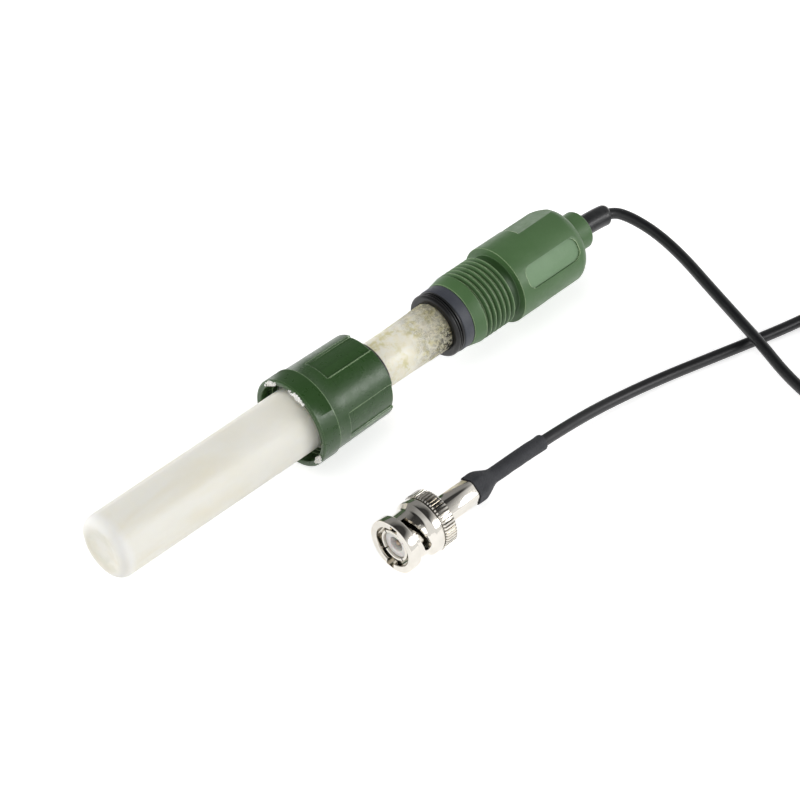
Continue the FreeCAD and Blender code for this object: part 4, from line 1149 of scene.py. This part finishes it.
# %% Coupling ring
RING_LENGTH, GROOVES, GROOVE_DEPTH, GRIP_RADIUS, GRIP_START = 13.8, 54, 0.4, 7.15, 10.3
LINES_PER_GROOVE, PUSHED_LINES = 6, (0, 1)
CHANNEL_WIDTH, CHANNEL_REACH, RAMP_SWEEP, RAMP_RISE = 2.1, 6.3, 80.0, 2.0
CHANNEL_FRONT, CHANNEL_FLOOR, RAMP_STEPS, RAMP_ANGLES = 2.6, 4.5, 32, (85.0, 265.0)
ring = turned_shape([
    (0.0, 6.8, 0.25), (2.6, 6.8, 0.25), (2.6, 5.8, 0.12), (6.8, 5.8, 0.9), (8.0, 6.85, 0.6),
    (9.95, 6.85, 0.22), (9.95, 6.55), (GRIP_START, 6.55), (GRIP_START, 6.8, 0.1),
    (GRIP_START + 0.35, GRIP_RADIUS, 0.15), (RING_LENGTH - 0.35, GRIP_RADIUS, 0.15),
    (RING_LENGTH, 6.8, 0.1), (RING_LENGTH, 5.05, 0.2), (13.2, 5.05), (13.2, 4.08), (12.0, 4.08),
    (12.0, 5.05), (0.0, 5.05, 0.25),
], steps=GROOVES * LINES_PER_GROOVE, origin=PLUG_X)
for vertex in ring.verts:
    in_band = PLUG_X + GRIP_START < vertex.co.x
    line = round(angle_round_axis(vertex) / (360.0 / (GROOVES * LINES_PER_GROOVE))) % LINES_PER_GROOVE
    if in_band and line in PUSHED_LINES and radius_of(vertex) > GRIP_RADIUS - GROOVE_DEPTH:
        push_out(vertex, GRIP_RADIUS - GROOVE_DEPTH - radius_of(vertex))
coupling = finished(ring, "coupling_ring_skin", "plug_ring", "nickel", ["plug_ring"], axis=PLUG_AXIS,
                    sharp=35.0)


def channel_block(start_angle):
    """One bayonet channel: the entry slot and the winding ramp, as two closed parts."""
    block = bmesh.new()
    half = CHANNEL_WIDTH / 2.0
    deep = CHANNEL_REACH - CHANNEL_FLOOR
    middle = (CHANNEL_REACH + CHANNEL_FLOOR) / 2.0
    rear = CHANNEL_FRONT + CHANNEL_WIDTH
    bmesh.ops.create_cube(block, size=1.0)
    bmesh.ops.scale(block, vec=(rear + 1.0, CHANNEL_WIDTH, deep), verts=block.verts)
    shift(block, ((rear - 1.0) / 2.0, 0, middle))
    section = [block.verts.new((x, 0.0, radius)) for x, radius in (
        (CHANNEL_FRONT, CHANNEL_FLOOR), (rear, CHANNEL_FLOOR), (rear, CHANNEL_REACH),
        (CHANNEL_FRONT, CHANNEL_REACH))]
    spin(block, [block.faces.new(section)], math.radians(RAMP_SWEEP), RAMP_STEPS, rise=RAMP_RISE / RAMP_STEPS)
    stop = bmesh.ops.create_cone(block, cap_ends=True, segments=32, radius1=half, radius2=half,
                                 depth=deep)["verts"]
    shift(block, (CHANNEL_FRONT + half + RAMP_RISE, 0, middle), stop)
    turn(block, RAMP_SWEEP, stop)
    turn(block, 90.0 - start_angle)
    shift(block, (PLUG_X, 0, 0))
    return block


for angle in RAMP_ANGLES:
    carve(coupling, channel_block(angle), PLUG_AXIS, sharp=35.0, overlapping=True)

# %% [markdown]
# The stage is a wide pale floor. Its own colour is plain, and it glows a little for
# the camera and for reflections, so that it reads as white paper while the shadow
# under the electrode stays.

# %% Floor
FLOOR_TONE = 0.80
FLOOR_GLOW = 0.6
FLOOR_HALF_WIDTH = 3.0

floor_shape = bmesh.new()
bmesh.ops.create_grid(floor_shape, x_segments=1, y_segments=1, size=FLOOR_HALF_WIDTH)
floor = mesh_object(floor_shape, "floor")
floor_finish = bpy.data.materials.new("floor_paper")
floor_finish.use_nodes = True
bench = Bench(floor_finish.node_tree)
seen = bench.node("ShaderNodeLightPath").outputs
shown = bench.maths("MAXIMUM", bench.maths("MAXIMUM", seen["Is Camera Ray"], seen["Is Glossy Ray"]),
                    seen["Is Transmission Ray"])
matt = bench.node("ShaderNodeBsdfDiffuse", {"Color": (FLOOR_TONE, FLOOR_TONE, FLOOR_TONE, 1.0)})
glow = bench.node("ShaderNodeEmission", {"Color": (1.0, 1.0, 1.0, 1.0),
                                         "Strength": bench.times(shown, FLOOR_GLOW)})
both = bench.node("ShaderNodeAddShader", {0: matt.outputs[0], 1: glow.outputs[0]})
bench.node("ShaderNodeOutputMaterial", {"Surface": both.outputs[0]})
floor.data.materials.append(floor_finish)
print("floor:", 2.0 * FLOOR_HALF_WIDTH, "m wide")

# %% [markdown]
# The world is bright from the horizon up to steep angles and dark straight overhead,
# and dimmer at the back. A glossy round part mirrors that as a dark band between two
# bright ones, which is what makes nickel look like nickel.

# %% World
HORIZON_LEVEL, ZENITH_LEVEL, BACK_SHARE = 0.95, 0.05, 0.3
OVERHEAD_EDGE, BACK_EDGE = (0.58, 0.84), (0.1, 0.6)

world = bpy.data.worlds.new("studio")
bpy.context.scene.world = world
world.use_nodes = True
bench = Bench(world.node_tree)
heading = bench.node("ShaderNodeTexCoord").outputs["Generated"]
parts = bench.node("ShaderNodeSeparateXYZ", {"Vector": heading}).outputs
sky_level = bench.ramp(parts["Z"], *OVERHEAD_EDGE, HORIZON_LEVEL, ZENITH_LEVEL)
front = bench.times(sky_level, bench.ramp(parts["Y"], *BACK_EDGE, 1.0, BACK_SHARE))
for_camera = bench.node("ShaderNodeLightPath").outputs["Is Camera Ray"]
strength = bench.maths("MAXIMUM", front, for_camera)
sky = bench.node("ShaderNodeBackground", {"Color": (1.0, 1.0, 1.0, 1.0), "Strength": strength})
bench.node("ShaderNodeOutputWorld", {"Surface": sky.outputs[0]})
print("world levels:", HORIZON_LEVEL, "to", ZENITH_LEVEL)

# %% [markdown]
# Three broad oval panels light the electrode evenly: one low at the right, a
# stronger one at the left and one overhead. They are hidden from reflections, which
# only show the world and a fourth, small panel. That one lights nothing: it is there
# for the long soft sheen on the plastics and the metal.

# %% Lamps
def soft_panel(name, towards, distance, width, height, power, mirrored=True, lighting=True):
    """An oval lamp, turned to the electrode, that lights it, shows in its gloss, or both."""
    data = bpy.data.lights.new(name, "AREA")
    data.shape = "ELLIPSE"
    data.size, data.size_y = width, height
    data.energy = power
    lamp = add_object(name, data)
    way = Vector(towards).normalized()
    lamp.location = way * distance
    lamp.rotation_mode = "QUATERNION"
    lamp.rotation_quaternion = (-way).to_track_quat("-Z", "Y")
    lamp.visible_glossy = mirrored
    lamp.visible_diffuse = lighting
    print(name, power, "W")


soft_panel("right_panel", (0.5, -0.8, 0.3), 1.1, 1.2, 0.6, 4.5, mirrored=False)
soft_panel("left_panel", (-0.45, 0.85, 0.35), 1.2, 1.2, 0.6, 8.0, mirrored=False)
soft_panel("top_panel", (-0.25, 0.1, 1.0), 1.3, 1.2, 1.2, 5.0, mirrored=False)
soft_panel("sheen_panel", (0.5, -0.75, 0.43), 1.2, 0.5, 0.5, 3.0, lighting=False)
bpy.context.scene.view_settings.view_transform = "Standard"

# %% [markdown]
# The pieces along the cable, the sleeves, the ferrule, the coupling ring and the plug's
# inner solids, are gathered in one list.

CORD_NODES = ("plug_body", "plug_gasket", "wave_washer", "retaining_ring", "plug_insulator", "plug_pin")
along_cable = [strain_sleeve, shrink_sleeve, crimped, coupling]
along_cable += [frame["nodes"][name] for name in CORD_NODES]
bpy.context.view_layer.update()
